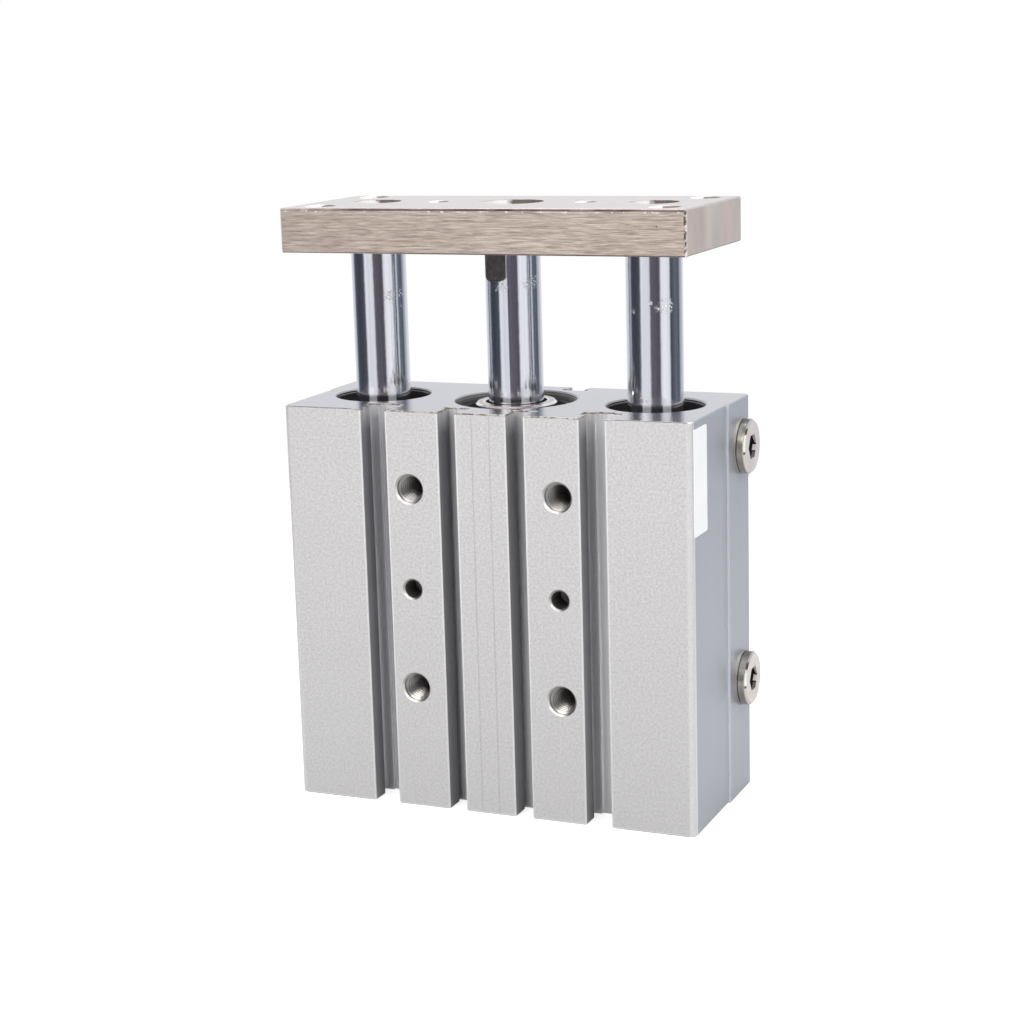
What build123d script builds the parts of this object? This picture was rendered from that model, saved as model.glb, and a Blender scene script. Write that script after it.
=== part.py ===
from build123d import *
import math
import os

os.makedirs("parts", exist_ok=True)

# Guided pneumatic cylinder, in millimetres. The origin is on the body's bottom face, in the plane of
# the three rods. +Z points out of the rod end, -Y is the front face, +X is the side with the port plugs.

# Travel
stroke = 40.0
plate_extension = 27.0          # how far the plate stands out from its retracted stop
retracted_gap = 6.0             # body top to plate at the retracted stop
stop_clearance = 0.05           # piston to bumper at either stop

# Body extrusion
body_width = 93.0
back_depth = 18.5               # rods' plane to the back face
front_wall = 0.6                # end bore's radius to the floors of the front sensor slots
body_corner_radius = 1.4
band_start = 3.0                # rods' plane to the front edge of the raised side bands
band_height = 0.5
body_edge_chamfer = 0.2         # outline's edges at the body's top and bottom
cylinder_bore_radius = 12.5
end_bore_radius = 13.2          # wider ends of the cylinder bore, for the rod cover and the end cap
guide_edge_distance = 14.5      # guide rods' axes to the side faces
guide_bore_radius = 10.5
bore_chamfer = 0.3

# T-slots in the front face
t_slot_step = 7.0               # guide rods' axes in to the slots' middles
t_slot_mouth = 5.8
t_slot_lip = 4.5
t_slot_head_width = 8.4
t_slot_head_depth = 3.0
t_slot_relief_width = 4.2
t_slot_relief_depth = 0.7

# Sensor slots in the front and back faces
sensor_slot_offset = 7.8
sensor_slot_mouth = 4.0
sensor_slot_lip = 4.8
sensor_slot_back_lip = 3.0
sensor_slot_head_width = 5.6
sensor_slot_head_depth = 1.4

# Fine lines down the centre of the front face
face_line_offset = 2.0
face_line_width = 0.25
face_line_depth = 0.04

# Mounting holes
mount_spacing_x = 34.0
mount_spacing_z = 44.0
mount_top_offset = 17.0         # body top to the upper pair
mount_thread_radius = 3.0
mount_thread_depth = 12.0
mount_mouth_radius = 3.4
dowel_radius = 2.0
dowel_depth = 6.0
dowel_mouth_radius = 2.4
dowel_step = 22.0               # upper mounting holes to the dowel holes
base_spacing_y = 22.0
drill_tip_slope = 0.6           # tip height over radius of a 118 degree drill

# Air ports
port_row = 12.1                 # rods' plane to the ports on the side and the air passages
port_thread_radius = 4.86
port_depth = 6.0
port_mouth_radius = 5.3
back_port_step = 4.0            # guide rods' axes in to the back ports
passage_radius = 1.2
passage_margin = 0.3            # piston land to the edge of a passage at its stop

# Port plugs
plug_flange_radius = 5.9
plug_flange_thickness = 2.0
plug_washer_radius = 6.05
plug_washer_thickness = 0.5
plug_hex = 5.0
plug_hex_depth = 2.6
plug_hex_turn = 30.0            # brings two of the socket's flats level
plug_shank_length = 4.4
plug_edge_chamfer = 0.5
thread_clearance = 0.05

# Retaining rings
ring_setback = 1.6              # cylinder bore rings below the body's ends
ring_thickness = 1.2
ring_groove_depth = 0.7
ring_width = 2.2
ring_gap_angle = 44.0
ring_lug_radius = 1.35
ring_lug_hole_radius = 0.6
ring_lug_inset = 0.35           # lugs' middles in from the rings' inner edge
centre_ring_turn = -60.0        # turn of the gaps of the cylinder bore's rings
guide_ring_turn = 60.0
guide_ring_setback = 2.4
guide_ring_thickness = 1.0
guide_ring_groove_depth = 0.5
guide_ring_width = 1.7

# Rod cover and end cap
cover_flange_thickness = 4.7
cover_boss_radius = 8.85
cover_boss_setback = 0.3        # body top to the boss's top
cover_lip_thickness = 0.7
cover_pocket_radius = 7.9
cover_mouth_clearance = 0.7
cover_bush_length = 4.2
cap_thickness = 13.9
cap_pocket_radius = 8.0
cap_pocket_depth = 8.0
oring_radius = 0.8              # radius of the rings' round section
oring_side_gap = 0.1
rod_seal_lip_height = 0.8       # down the seal's lower lip, and back out above it
rod_seal_lip_reach = 0.6        # lips in from the seal's inner wall
rod_seal_scraper_height = 0.9
bumper_thickness = 1.5
bumper_outer_radius = 11.0
bumper_inner_radius = 6.8

# Piston
piston_radius = 12.2
piston_end_radius = 9.4
piston_foot_length = 9.3
piston_land_length = 8.6
piston_nose_length = 2.8
piston_end_chamfer = 0.5
piston_seal_width = 2.6
piston_seal_lip_height = 0.5
piston_seal_waist = 0.3         # seal's waist below the land
piston_seal_inner_radius = 9.8
magnet_width = 2.0
magnet_inner_radius = 9.6
magnet_outer_radius = 11.7
wear_ring_width = 1.8
wear_ring_inner_radius = 11.2
piston_ring_clearance = 0.06    # seal and wear ring to the bore
rod_seat_depth = 6.0

# Rods
rod_radius = 6.0
rod_clearance = 0.05            # rods to the bush, the seals and the ball cages
rod_end_chamfer = 0.8
plate_seat_depth = 2.0
guide_rod_setback = 0.4         # guide rod ends above the body's bottom at rest
flat_across = 10.0
flat_length = 7.1
flat_runout_radius = 1.4
flat_angle = 23.0               # turn of the wrench flats about the rod

# Ball bushings
bushing_length = 30.0
bushing_wall = 1.9
bushing_groove_inset = 3.0
bushing_groove_width = 1.3
bushing_groove_depth = 0.4
cage_clearance = 0.3            # ball cages to the rods
cage_circuits = 4
cage_slot_width = 2.6
cage_slot_spread = 40.0         # angle between the two runs of one circuit
cage_slot_inset = 3.4
spacer_wall = 1.2
wiper_thickness = 3.0
wiper_lip_height = 1.2
wiper_lip_width = 0.3
wiper_lip_setback = 0.1         # lip's tip below the wiper's rim
wiper_inner_step = 0.8          # lip's inner face to the wiper's inner wall
wiper_rim_width = 1.4

# End plate
plate_side_step = 1.0           # plate's ends inside the body's side faces
plate_face_step = 0.75          # plate's long faces inside the body's front and back
plate_thickness = 9.5
plate_chamfer = 0.3
plate_hole_inset = 6.5          # corner holes in from the plate's ends
plate_hole_edge = 5.5            # corner holes in from the plate's long faces
plate_dowel_offset = 17.0

# Cap screws, each with its thread radius, head radius, head height, hex and screwed-in length
guide_screw_radius = 3.0
guide_screw_head_radius = 5.0
guide_screw_head_height = 4.0
guide_screw_hex = 4.0
guide_screw_grip = 12.0
centre_screw_radius = 4.0
centre_screw_head_radius = 6.5
centre_screw_head_height = 4.6
centre_screw_hex = 5.0
centre_screw_grip = 14.0
tapped_hole_margin = 2.0        # tapped holes in the rods beyond the screws' tips
screw_hole_clearance = 0.5
counterbore_margin = 0.9        # counterbore depth beyond the head's height

# Places across the body that follow from the sizes above
front_depth = end_bore_radius + front_wall + sensor_slot_head_depth + sensor_slot_lip
body_depth = front_depth + back_depth
body_middle = (back_depth - front_depth) / 2
guide_offset = body_width / 2 - guide_edge_distance
t_slot_offset = guide_offset - t_slot_step
back_port_offset = guide_offset - back_port_step
side_face = body_width / 2 + band_height
plate_width = body_width - 2 * plate_side_step
plate_depth = body_depth - 2 * plate_face_step
plate_hole_spacing_x = plate_width - 2 * plate_hole_inset
plate_hole_spacing_y = plate_depth - 2 * plate_hole_edge

# Heights up the cylinder bore, from the bottom
cap_low = ring_setback + ring_thickness
cap_high = cap_low + cap_thickness
piston_length = piston_foot_length + piston_land_length + piston_nose_length
piston_retracted = cap_high + bumper_thickness + stop_clearance
piston_low = piston_retracted + plate_extension
piston_top_extended = piston_retracted + piston_length + stroke
cover_low = piston_top_extended + stop_clearance + bumper_thickness
cover_flange_high = cover_low + cover_flange_thickness
body_height = cover_flange_high + ring_thickness + ring_setback
cover_high = body_height - cover_boss_setback

# Port heights: each opens just past the piston's land at its stop
land_low_retracted = piston_retracted + piston_foot_length
lower_port = land_low_retracted - passage_margin - passage_radius
upper_port = land_low_retracted + piston_land_length + stroke + passage_margin + passage_radius
ports = {"lower": lower_port, "upper": upper_port}

# Heights of the moving pieces at rest
plate_low = body_height + retracted_gap + plate_extension
plate_high = plate_low + plate_thickness
rod_top = plate_low + plate_seat_depth
rod_low = piston_low + piston_length - rod_seat_depth

# Heights up the guide bores
guide_ring_low = guide_ring_setback
lower_bushing_low = guide_ring_low + guide_ring_thickness
wiper_high = body_height - guide_ring_setback - guide_ring_thickness
wiper_low = wiper_high - wiper_thickness
upper_bushing_low = wiper_low - bushing_length
bushings = {"lower": lower_bushing_low, "upper": upper_bushing_low}
spacer_low = lower_bushing_low + bushing_length
guide_rings = {"lower": guide_ring_low, "upper": wiper_high}

sides = {"left": -1, "right": 1}
piston_ring_radius = cylinder_bore_radius - piston_ring_clearance


# Basic shapes
def bar(radius, low, high, x=0.0, y=0.0):
    """Upright round bar between two heights."""
    return Pos(x, y, low) * Cylinder(radius, high - low, align=(Align.CENTER, Align.CENTER, Align.MIN))


def tube(outer, inner, low, high, x=0.0, y=0.0):
    """Upright round tube between two heights."""
    return bar(outer, low, high, x, y) - bar(inner, low, high, x, y)


def turned(points, x=0.0, y=0.0):
    """Turned piece about an upright axis, from its half section as (radius, height) points."""
    section = Plane.XZ * make_face(Polyline(*points, close=True))
    return Pos(x, y, 0) * revolve(section, axis=Axis.Z)


def drilled(radius, depth, mouth):
    """Drilled hole from its mouth at the origin down +Z, with a countersunk mouth and a cone tip."""
    tip = depth + radius * drill_tip_slope
    return turned([(0, 0), (mouth, 0), (radius, mouth - radius), (radius, depth), (0, tip)])


def hex_socket(across, depth):
    """Hexagon socket from the origin down -Z."""
    hexagon = RegularPolygon(across / 2, 6, major_radius=False)
    return extrude(hexagon, amount=-depth)


def cap_screw(seat, thread_radius, head_radius, head_height, across, thread_end):
    """Socket head screw, its head standing on the seat height and its thread reaching down."""
    head = bar(head_radius, seat, seat + head_height)
    head = chamfer(head.edges().group_by(Axis.Z)[-1], head_height / 10)
    screw = head + bar(thread_radius, thread_end, seat)
    return screw - Pos(0, 0, seat + head_height) * hex_socket(across, head_height / 2)


def retaining_ring(outer, width, low, thickness, turn):
    """Internal retaining ring: an open ring with two drilled lugs at the ends of its gap."""
    inner = outer - width
    ring = Circle(outer) - Circle(inner)
    half_gap = math.radians(ring_gap_angle / 2)
    reach = 2 * outer
    ring -= make_face(Polyline((0, 0),
                               (reach * math.cos(half_gap), reach * math.sin(half_gap)),
                               (reach * math.cos(half_gap), -reach * math.sin(half_gap)),
                               close=True))
    lug_centre = inner - ring_lug_inset
    lug_angle = ring_gap_angle / 2 + math.degrees(ring_lug_radius / lug_centre)
    for way in (-1, 1):
        place = Rot(0, 0, way * lug_angle) * Pos(lug_centre, 0, 0)
        ring += place * Circle(ring_lug_radius)
        ring -= place * Circle(ring_lug_hole_radius)
    return Pos(0, 0, low) * Rot(0, 0, turn) * extrude(ring, amount=thickness)


# Slot sections, drawn with the mouth at the origin and the depth along +Y
def t_slot_section():
    """T-slot with a shallow relief in its floor."""
    lip_end = t_slot_lip
    floor = t_slot_lip + t_slot_head_depth
    section = Pos(0, lip_end / 2) * Rectangle(t_slot_mouth, lip_end)
    section += Pos(0, (lip_end + floor) / 2) * Rectangle(t_slot_head_width, floor - lip_end)
    section += Pos(0, floor + t_slot_relief_depth / 2) * Rectangle(t_slot_relief_width, t_slot_relief_depth)
    return section


def sensor_slot_section(lip):
    """Sensor slot with an undercut head."""
    section = Pos(0, lip / 2) * Rectangle(sensor_slot_mouth, lip)
    head = Rectangle(sensor_slot_head_width, sensor_slot_head_depth)
    return section + Pos(0, lip + sensor_slot_head_depth / 2) * head


def body_section():
    """Section of the extrusion: plain front part, raised side bands, slots in both faces."""
    outline = Pos(0, body_middle) * Rectangle(body_width, body_depth)
    band = Rectangle(body_width + 2 * band_height, back_depth - band_start)
    outline += Pos(0, (back_depth + band_start) / 2) * band
    rows = outline.vertices().group_by(Axis.Y)
    outline = fillet(rows[0] + rows[-1], body_corner_radius)
    for way in sides.values():
        outline -= Pos(way * t_slot_offset, -front_depth) * t_slot_section()
        outline -= Pos(way * sensor_slot_offset, -front_depth) * sensor_slot_section(sensor_slot_lip)
        back_slot = sensor_slot_section(sensor_slot_back_lip)
        outline -= Pos(way * sensor_slot_offset, back_depth) * Rot(0, 0, 180) * back_slot
    return outline


# Cutters for the body
def centre_bore():
    """Cylinder bore with wider, grooved ends for the rod cover and the end cap."""
    cutter = bar(cylinder_bore_radius, 0, body_height)
    cutter += bar(end_bore_radius, 0, cap_high)
    cutter += bar(end_bore_radius, cover_low, body_height)
    groove = end_bore_radius + ring_groove_depth
    cutter += bar(groove, ring_setback, ring_setback + ring_thickness)
    cutter += bar(groove, cover_flange_high, cover_flange_high + ring_thickness)
    return cutter + mouth_chamfers(end_bore_radius)


def mouth_chamfers(radius):
    """Chamfers at both ends of an upright bore through the body."""
    wide = radius + bore_chamfer
    low = turned([(0, 0), (wide, 0), (radius, bore_chamfer), (0, bore_chamfer)])
    top = body_height
    high = turned([(0, top), (wide, top), (radius, top - bore_chamfer), (0, top - bore_chamfer)])
    return low + high


def guide_bore():
    """Guide bore with a groove for a retaining ring at each end."""
    cutter = bar(guide_bore_radius, 0, body_height)
    groove = guide_bore_radius + guide_ring_groove_depth
    for low in guide_rings.values():
        cutter += bar(groove, low, low + guide_ring_thickness)
    return cutter + mouth_chamfers(guide_bore_radius)


def front_holes():
    """Tapped mounting holes and dowel holes in the front face."""
    upper = body_height - mount_top_offset
    thread = drilled(mount_thread_radius, mount_thread_depth, mount_mouth_radius)
    dowel = drilled(dowel_radius, dowel_depth, dowel_mouth_radius)
    holes = []
    for way in sides.values():
        x = way * mount_spacing_x / 2
        holes.append(Pos(x, -front_depth, upper) * Rot(-90, 0, 0) * thread)
        holes.append(Pos(x, -front_depth, upper - mount_spacing_z) * Rot(-90, 0, 0) * thread)
        holes.append(Pos(x, -front_depth, upper - dowel_step) * Rot(-90, 0, 0) * dowel)
    return holes


def base_holes():
    """Tapped mounting holes in the bottom face."""
    thread = drilled(mount_thread_radius, mount_thread_depth, mount_mouth_radius)
    holes = []
    for x in (-mount_spacing_x / 2, mount_spacing_x / 2):
        for y in (-base_spacing_y / 2, base_spacing_y / 2):
            holes.append(Pos(x, y, 0) * thread)
    return holes


def air_ports():
    """Side ports, back ports and the passages that join them to the cylinder bore."""
    cone = port_mouth_radius - port_thread_radius
    port = turned([(0, 0), (port_mouth_radius, 0), (port_thread_radius, cone),
                   (port_thread_radius, port_depth), (0, port_depth)])
    cutters = []
    for height in ports.values():
        cutters.append(Pos(side_face, port_row, height) * Rot(0, -90, 0) * port)
        cutters.append(Pos(back_port_offset, back_depth, height) * Rot(90, 0, 0) * port)
        run = side_face - port_depth
        passage = Cylinder(passage_radius, run, align=(Align.CENTER, Align.CENTER, Align.MIN))
        cutters.append(Pos(0, port_row, height) * Rot(0, 90, 0) * passage)
    return cutters


def body_block():
    """Extruded body with its bores, ports and holes."""
    block = extrude(body_section(), amount=body_height)
    ends = block.edges().group_by(Axis.Z)
    block = chamfer(ends[0] + ends[-1], body_edge_chamfer)
    block -= centre_bore()
    line = extrude(Rectangle(face_line_width, 2 * face_line_depth), amount=body_height)
    for way in sides.values():
        block -= Pos(way * guide_offset, 0, 0) * guide_bore()
        block -= Pos(way * face_line_offset, -front_depth, 0) * line
    for cutter in front_holes() + base_holes() + air_ports():
        block -= cutter
    return block


# Rod end
def rod_cover():
    """Rod cover with a boss up the middle, a ring groove and a pocket for the bush and the seal."""
    boss_edge = 0.4
    cover = turned([(cover_pocket_radius, cover_low), (end_bore_radius, cover_low),
                    (end_bore_radius, cover_flange_high), (cover_boss_radius, cover_flange_high),
                    (cover_boss_radius, cover_high - boss_edge), (cover_boss_radius - boss_edge, cover_high),
                    (rod_radius + cover_mouth_clearance, cover_high),
                    (rod_radius + cover_mouth_clearance, cover_high - cover_lip_thickness),
                    (cover_pocket_radius, cover_high - cover_lip_thickness)])
    return cover - oring_groove(cover_low + cover_flange_thickness / 2)


def oring_groove(height):
    """Ring groove round the rod cover or the end cap."""
    floor = end_bore_radius - 2 * oring_radius
    half_width = oring_radius + oring_side_gap
    return tube(end_bore_radius, floor, height - half_width, height + half_width)


def cover_oring(height):
    """Ring that seals the rod cover or the end cap in the bore, between its groove and the wall."""
    return Pos(0, 0, height) * Torus(end_bore_radius - oring_radius, oring_radius)


def rod_seal():
    """Lip seal round the piston rod, under the cover's top lip."""
    low = cover_low + cover_bush_length
    high = cover_high - cover_lip_thickness
    inner = rod_radius + rod_clearance
    wall = inner + rod_seal_lip_reach
    lip_low = low + rod_seal_lip_height
    return turned([(inner, high - rod_seal_scraper_height), (wall, high), (cover_pocket_radius, high),
                   (cover_pocket_radius, low), (wall, low), (wall, lip_low),
                   (inner, lip_low + rod_seal_lip_reach)])


def end_cap():
    """Plug that closes the bottom of the cylinder bore, hollowed from below."""
    cap = bar(end_bore_radius, cap_low, cap_high)
    pocket = bar(cap_pocket_radius, cap_low, cap_low + cap_pocket_depth)
    return cap - pocket - oring_groove((cap_low + cap_pocket_depth + cap_high) / 2)


# Piston and its rings
def piston():
    """Piston with a narrow foot and nose, three ring grooves, a rod seat and a screw hole."""
    land_low = piston_low + piston_foot_length
    land_high = land_low + piston_land_length
    top = piston_low + piston_length
    body = bar(piston_end_radius, piston_low, top)
    ends = body.edges().group_by(Axis.Z)
    body = chamfer(ends[0] + ends[-1], piston_end_chamfer)
    body += bar(piston_radius, land_low, land_high)
    for inner, width, low in piston_grooves().values():
        body -= tube(piston_radius, inner, low, low + width)
    body -= bar(rod_radius, rod_low, top)
    body -= bar(guide_screw_radius + screw_hole_clearance, piston_low, rod_low)
    head_depth = guide_screw_head_height + counterbore_margin
    return body - bar(guide_screw_head_radius + screw_hole_clearance, piston_low, piston_low + head_depth)


def piston_grooves():
    """Inner radius, width and low edge of each groove, spread evenly up the land."""
    widths = {"seal": piston_seal_width, "magnet": magnet_width, "wear": wear_ring_width}
    inners = {"seal": piston_seal_inner_radius, "magnet": magnet_inner_radius, "wear": wear_ring_inner_radius}
    rib = (piston_land_length - sum(widths.values())) / (len(widths) + 1)
    low = piston_low + piston_foot_length + rib
    grooves = {}
    for name, width in widths.items():
        grooves[name] = (inners[name], width, low)
        low += width + rib
    return grooves


def piston_seal():
    """Two-lip seal in the piston's lowest groove."""
    inner, width, low = piston_grooves()["seal"]
    high = low + width
    lip = piston_ring_radius
    waist = piston_radius - piston_seal_waist
    return turned([(inner, low), (lip, low), (lip, low + piston_seal_lip_height), (waist, (low + high) / 2),
                   (lip, high - piston_seal_lip_height), (lip, high), (inner, high)])


# Guides
def ball_bushing_shell(low):
    """Steel sleeve of a ball bushing, with a retaining groove near each end."""
    high = low + bushing_length
    shell = tube(guide_bore_radius, guide_bore_radius - bushing_wall, low, high)
    near = low + bushing_groove_inset
    far = high - bushing_groove_inset - bushing_groove_width
    for groove_low in (near, far):
        shell -= tube(guide_bore_radius, guide_bore_radius - bushing_groove_depth,
                      groove_low, groove_low + bushing_groove_width)
    return shell


def ball_cage(low):
    """Resin cage inside a bushing, with a racetrack slot pair for each ball circuit."""
    high = low + bushing_length
    outer = guide_bore_radius - bushing_wall
    cage = tube(outer, rod_radius + cage_clearance, low, high)
    run = bushing_length - 2 * cage_slot_inset
    slot = extrude(SlotOverall(run, cage_slot_width), amount=outer)
    upright = Pos(0, 0, (low + high) / 2) * Rot(0, 90, 0) * slot
    for circuit in range(cage_circuits):
        for half in (-0.5, 0.5):
            turn = 360 * circuit / cage_circuits + half * cage_slot_spread
            cage -= Rot(0, 0, turn) * upright
    return cage


def guide_wiper():
    """Wiper over the upper bushing, with a lip that leans on the rod."""
    inner = rod_radius + rod_clearance
    wall = inner + wiper_inner_step
    rim = guide_bore_radius - wiper_rim_width
    valley = wiper_high - wiper_lip_height
    tip = wiper_high - wiper_lip_setback
    return turned([(wall, wiper_low), (guide_bore_radius, wiper_low), (guide_bore_radius, wiper_high),
                   (rim, wiper_high), (rim, valley), (wall, valley), (inner + wiper_lip_width, tip),
                   (inner, tip), (inner, valley), (wall, wiper_low + wiper_inner_step)])


def guide_rod():
    """Guide rod, tapped at the top for its screw and chamfered at both ends."""
    rod = bar(rod_radius, guide_rod_setback, rod_top)
    rod = chamfer(rod.edges().group_by(Axis.Z)[0], rod_end_chamfer)
    seat = plate_high - guide_screw_head_height - counterbore_margin
    return rod - bar(guide_screw_radius, seat - guide_screw_grip - tapped_hole_margin, rod_top)


def piston_rod():
    """Piston rod with wrench flats under the plate and a tapped hole at each end."""
    rod = bar(rod_radius, rod_low, rod_top)
    flat_low = plate_low - flat_length
    reach = 2 * rod_radius
    side = Plane.YZ * Pos(flat_across / 2 + reach / 2, flat_low + reach) * Rectangle(reach, 2 * reach)
    cutter = extrude(side, amount=reach, both=True)
    runout = cutter.edges().filter_by(Axis.X).group_by(Axis.Z)[0].sort_by(Axis.Y)[0]
    cutter = fillet(runout, flat_runout_radius)
    above = bar(reach, plate_low, rod_top + 2 * reach)
    for turn in (0, 180):
        rod -= Rot(0, 0, -flat_angle + turn) * (cutter - above)
    seat = plate_high - centre_screw_head_height - counterbore_margin
    rod -= bar(centre_screw_radius, seat - centre_screw_grip - tapped_hole_margin, rod_top)
    head_seat = piston_low + guide_screw_head_height + counterbore_margin
    return rod - bar(guide_screw_radius, rod_low, head_seat + piston_screw_grip() + tapped_hole_margin)


def piston_screw_grip():
    """Length of the piston screw from its head's seat to its tip."""
    seat = piston_low + guide_screw_head_height + counterbore_margin
    return rod_low - seat + guide_screw_grip


# End plate and screws
def end_plate():
    """Plate that joins the rods, with counterbored screw holes and a tapped corner pattern."""
    block = Box(plate_width, plate_depth, plate_thickness, align=(Align.CENTER, Align.CENTER, Align.MIN))
    block = chamfer(block.edges(), plate_chamfer)
    plate = Pos(0, body_middle, plate_low) * block
    for x in (-guide_offset, guide_offset):
        plate -= Pos(x, 0, 0) * screw_hole(guide_screw_radius, guide_screw_head_radius, guide_screw_head_height)
    plate -= screw_hole(centre_screw_radius, centre_screw_head_radius, centre_screw_head_height)
    corner = drilled(mount_thread_radius, plate_thickness, mount_mouth_radius)
    for x in (-plate_hole_spacing_x / 2, plate_hole_spacing_x / 2):
        for y in (-plate_hole_spacing_y / 2, plate_hole_spacing_y / 2):
            plate -= Pos(x, y, plate_high) * Rot(180, 0, 0) * corner
    for x in (-plate_dowel_offset, plate_dowel_offset):
        dowel = drilled(dowel_radius, dowel_depth, dowel_mouth_radius)
        plate -= Pos(x, 0, plate_high) * Rot(180, 0, 0) * dowel
    return plate


def screw_hole(thread_radius, head_radius, head_height):
    """Counterbored hole through the plate with a seat for a rod's end below."""
    hole = bar(thread_radius + screw_hole_clearance, plate_low, plate_high)
    seat = plate_high - head_height - counterbore_margin
    hole += bar(head_radius + screw_hole_clearance, seat, plate_high)
    return hole + bar(rod_radius, plate_low, rod_top)


def plate_screw(thread_radius, head_radius, head_height, across, grip):
    """Screw from the plate's counterbore into a rod."""
    seat = plate_high - head_height - counterbore_margin
    return cap_screw(seat, thread_radius, head_radius, head_height, across, seat - grip)


def piston_screw():
    """Screw from the piston's foot up into the rod."""
    seat = piston_low + guide_screw_head_height + counterbore_margin
    upright = cap_screw(-seat, guide_screw_radius, guide_screw_head_radius, guide_screw_head_height,
                        guide_screw_hex, -seat - piston_screw_grip())
    return Rot(180, 0, 0) * upright


# Port plugs
def port_plug(height):
    """Flanged plug with a hexagon socket, screwed into a side port."""
    flange_low = plug_washer_thickness
    flange_high = flange_low + plug_flange_thickness
    flange = bar(plug_flange_radius, flange_low, flange_high)
    flange = chamfer(flange.edges().group_by(Axis.Z)[-1], plug_edge_chamfer)
    plug = flange + bar(port_thread_radius - thread_clearance, -plug_shank_length, flange_low)
    plug -= Pos(0, 0, flange_high) * Rot(0, 0, plug_hex_turn) * hex_socket(plug_hex, plug_hex_depth)
    return Pos(side_face, port_row, height) * Rot(0, 90, 0) * plug


def plug_washer(height):
    """Sealing washer under a port plug's flange."""
    washer = tube(plug_washer_radius, port_thread_radius, 0, plug_washer_thickness)
    return Pos(side_face, port_row, height) * Rot(0, 90, 0) * washer


# The assembly
nodes = {"body_block": body_block(),
         "rod_cover": rod_cover(),
         "rod_cover_oring": cover_oring(cover_low + cover_flange_thickness / 2),
         "rod_bush": tube(cover_pocket_radius, rod_radius + rod_clearance, cover_low,
                          cover_low + cover_bush_length),
         "rod_seal": rod_seal(),
         "rod_cover_ring": retaining_ring(end_bore_radius + ring_groove_depth, ring_width + ring_groove_depth,
                                          cover_flange_high, ring_thickness, centre_ring_turn),
         "rod_end_bumper": tube(bumper_outer_radius, bumper_inner_radius, cover_low - bumper_thickness,
                                cover_low),
         "end_cap": end_cap(),
         "end_cap_oring": cover_oring((cap_low + cap_pocket_depth + cap_high) / 2),
         "end_cap_ring": retaining_ring(end_bore_radius + ring_groove_depth, ring_width + ring_groove_depth,
                                        ring_setback, ring_thickness, centre_ring_turn),
         "cap_end_bumper": tube(bumper_outer_radius, bumper_inner_radius, cap_high,
                                cap_high + bumper_thickness),
         "end_plate": end_plate(),
         "piston_rod": piston_rod(),
         "piston_rod_screw": plate_screw(centre_screw_radius, centre_screw_head_radius,
                                         centre_screw_head_height, centre_screw_hex, centre_screw_grip),
         "piston": piston(),
         "piston_seal": piston_seal(),
         "piston_screw": piston_screw()}

magnet_inner, magnet_high, magnet_low = piston_grooves()["magnet"]
nodes["magnet_ring"] = tube(magnet_outer_radius, magnet_inner, magnet_low, magnet_low + magnet_high)
wear_inner, wear_high, wear_low = piston_grooves()["wear"]
nodes["wear_ring"] = tube(piston_ring_radius, wear_inner, wear_low, wear_low + wear_high)

for side, way in sides.items():
    place = Pos(way * guide_offset, 0, 0)
    nodes["guide_rod_" + side] = place * guide_rod()
    nodes["guide_screw_" + side] = place * plate_screw(guide_screw_radius, guide_screw_head_radius,
                                                       guide_screw_head_height, guide_screw_hex,
                                                       guide_screw_grip)
    nodes["guide_wiper_" + side] = place * guide_wiper()
    nodes["bushing_spacer_" + side] = place * tube(guide_bore_radius, guide_bore_radius - spacer_wall,
                                                   spacer_low, upper_bushing_low)
    for end, low in bushings.items():
        nodes["bushing_shell_" + end + "_" + side] = place * ball_bushing_shell(low)
        nodes["bushing_cage_" + end + "_" + side] = place * ball_cage(low)
    for end, low in guide_rings.items():
        ring = retaining_ring(guide_bore_radius + guide_ring_groove_depth,
                              guide_ring_width + guide_ring_groove_depth, low, guide_ring_thickness,
                              guide_ring_turn)
        nodes["guide_ring_" + end + "_" + side] = place * ring

for end, height in ports.items():
    nodes["port_plug_" + end] = port_plug(height)
    nodes["plug_washer_" + end] = plug_washer(height)

for name, shape in nodes.items():
    export_step(shape, "parts/" + name + ".step")
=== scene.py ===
import math

import bpy
import numpy as np
from bpy.props import FloatProperty, FloatVectorProperty, IntProperty, PointerProperty
from mathutils import Matrix, Vector


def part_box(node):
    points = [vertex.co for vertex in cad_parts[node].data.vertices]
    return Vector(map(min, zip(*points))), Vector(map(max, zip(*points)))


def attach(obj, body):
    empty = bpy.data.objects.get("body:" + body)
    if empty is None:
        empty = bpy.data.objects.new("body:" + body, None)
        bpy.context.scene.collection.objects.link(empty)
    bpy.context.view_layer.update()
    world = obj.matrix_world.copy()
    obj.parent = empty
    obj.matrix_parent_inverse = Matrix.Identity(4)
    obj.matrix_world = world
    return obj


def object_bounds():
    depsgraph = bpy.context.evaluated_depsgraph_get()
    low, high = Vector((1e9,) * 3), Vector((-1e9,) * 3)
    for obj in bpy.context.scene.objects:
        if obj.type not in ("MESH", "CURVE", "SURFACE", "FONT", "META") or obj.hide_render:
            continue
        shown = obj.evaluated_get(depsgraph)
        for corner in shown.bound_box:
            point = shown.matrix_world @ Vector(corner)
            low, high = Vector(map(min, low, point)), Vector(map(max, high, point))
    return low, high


bl_info = {
    "name": "Guided cylinder dressing",
    "version": (1, 0, 0),
    "blender": (4, 5, 0),
    "location": "View3D > Sidebar > Cylinder",
    "description": "Threads, label, metal finishes and studio for a guided pneumatic cylinder",
    "category": "Object",
}

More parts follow.
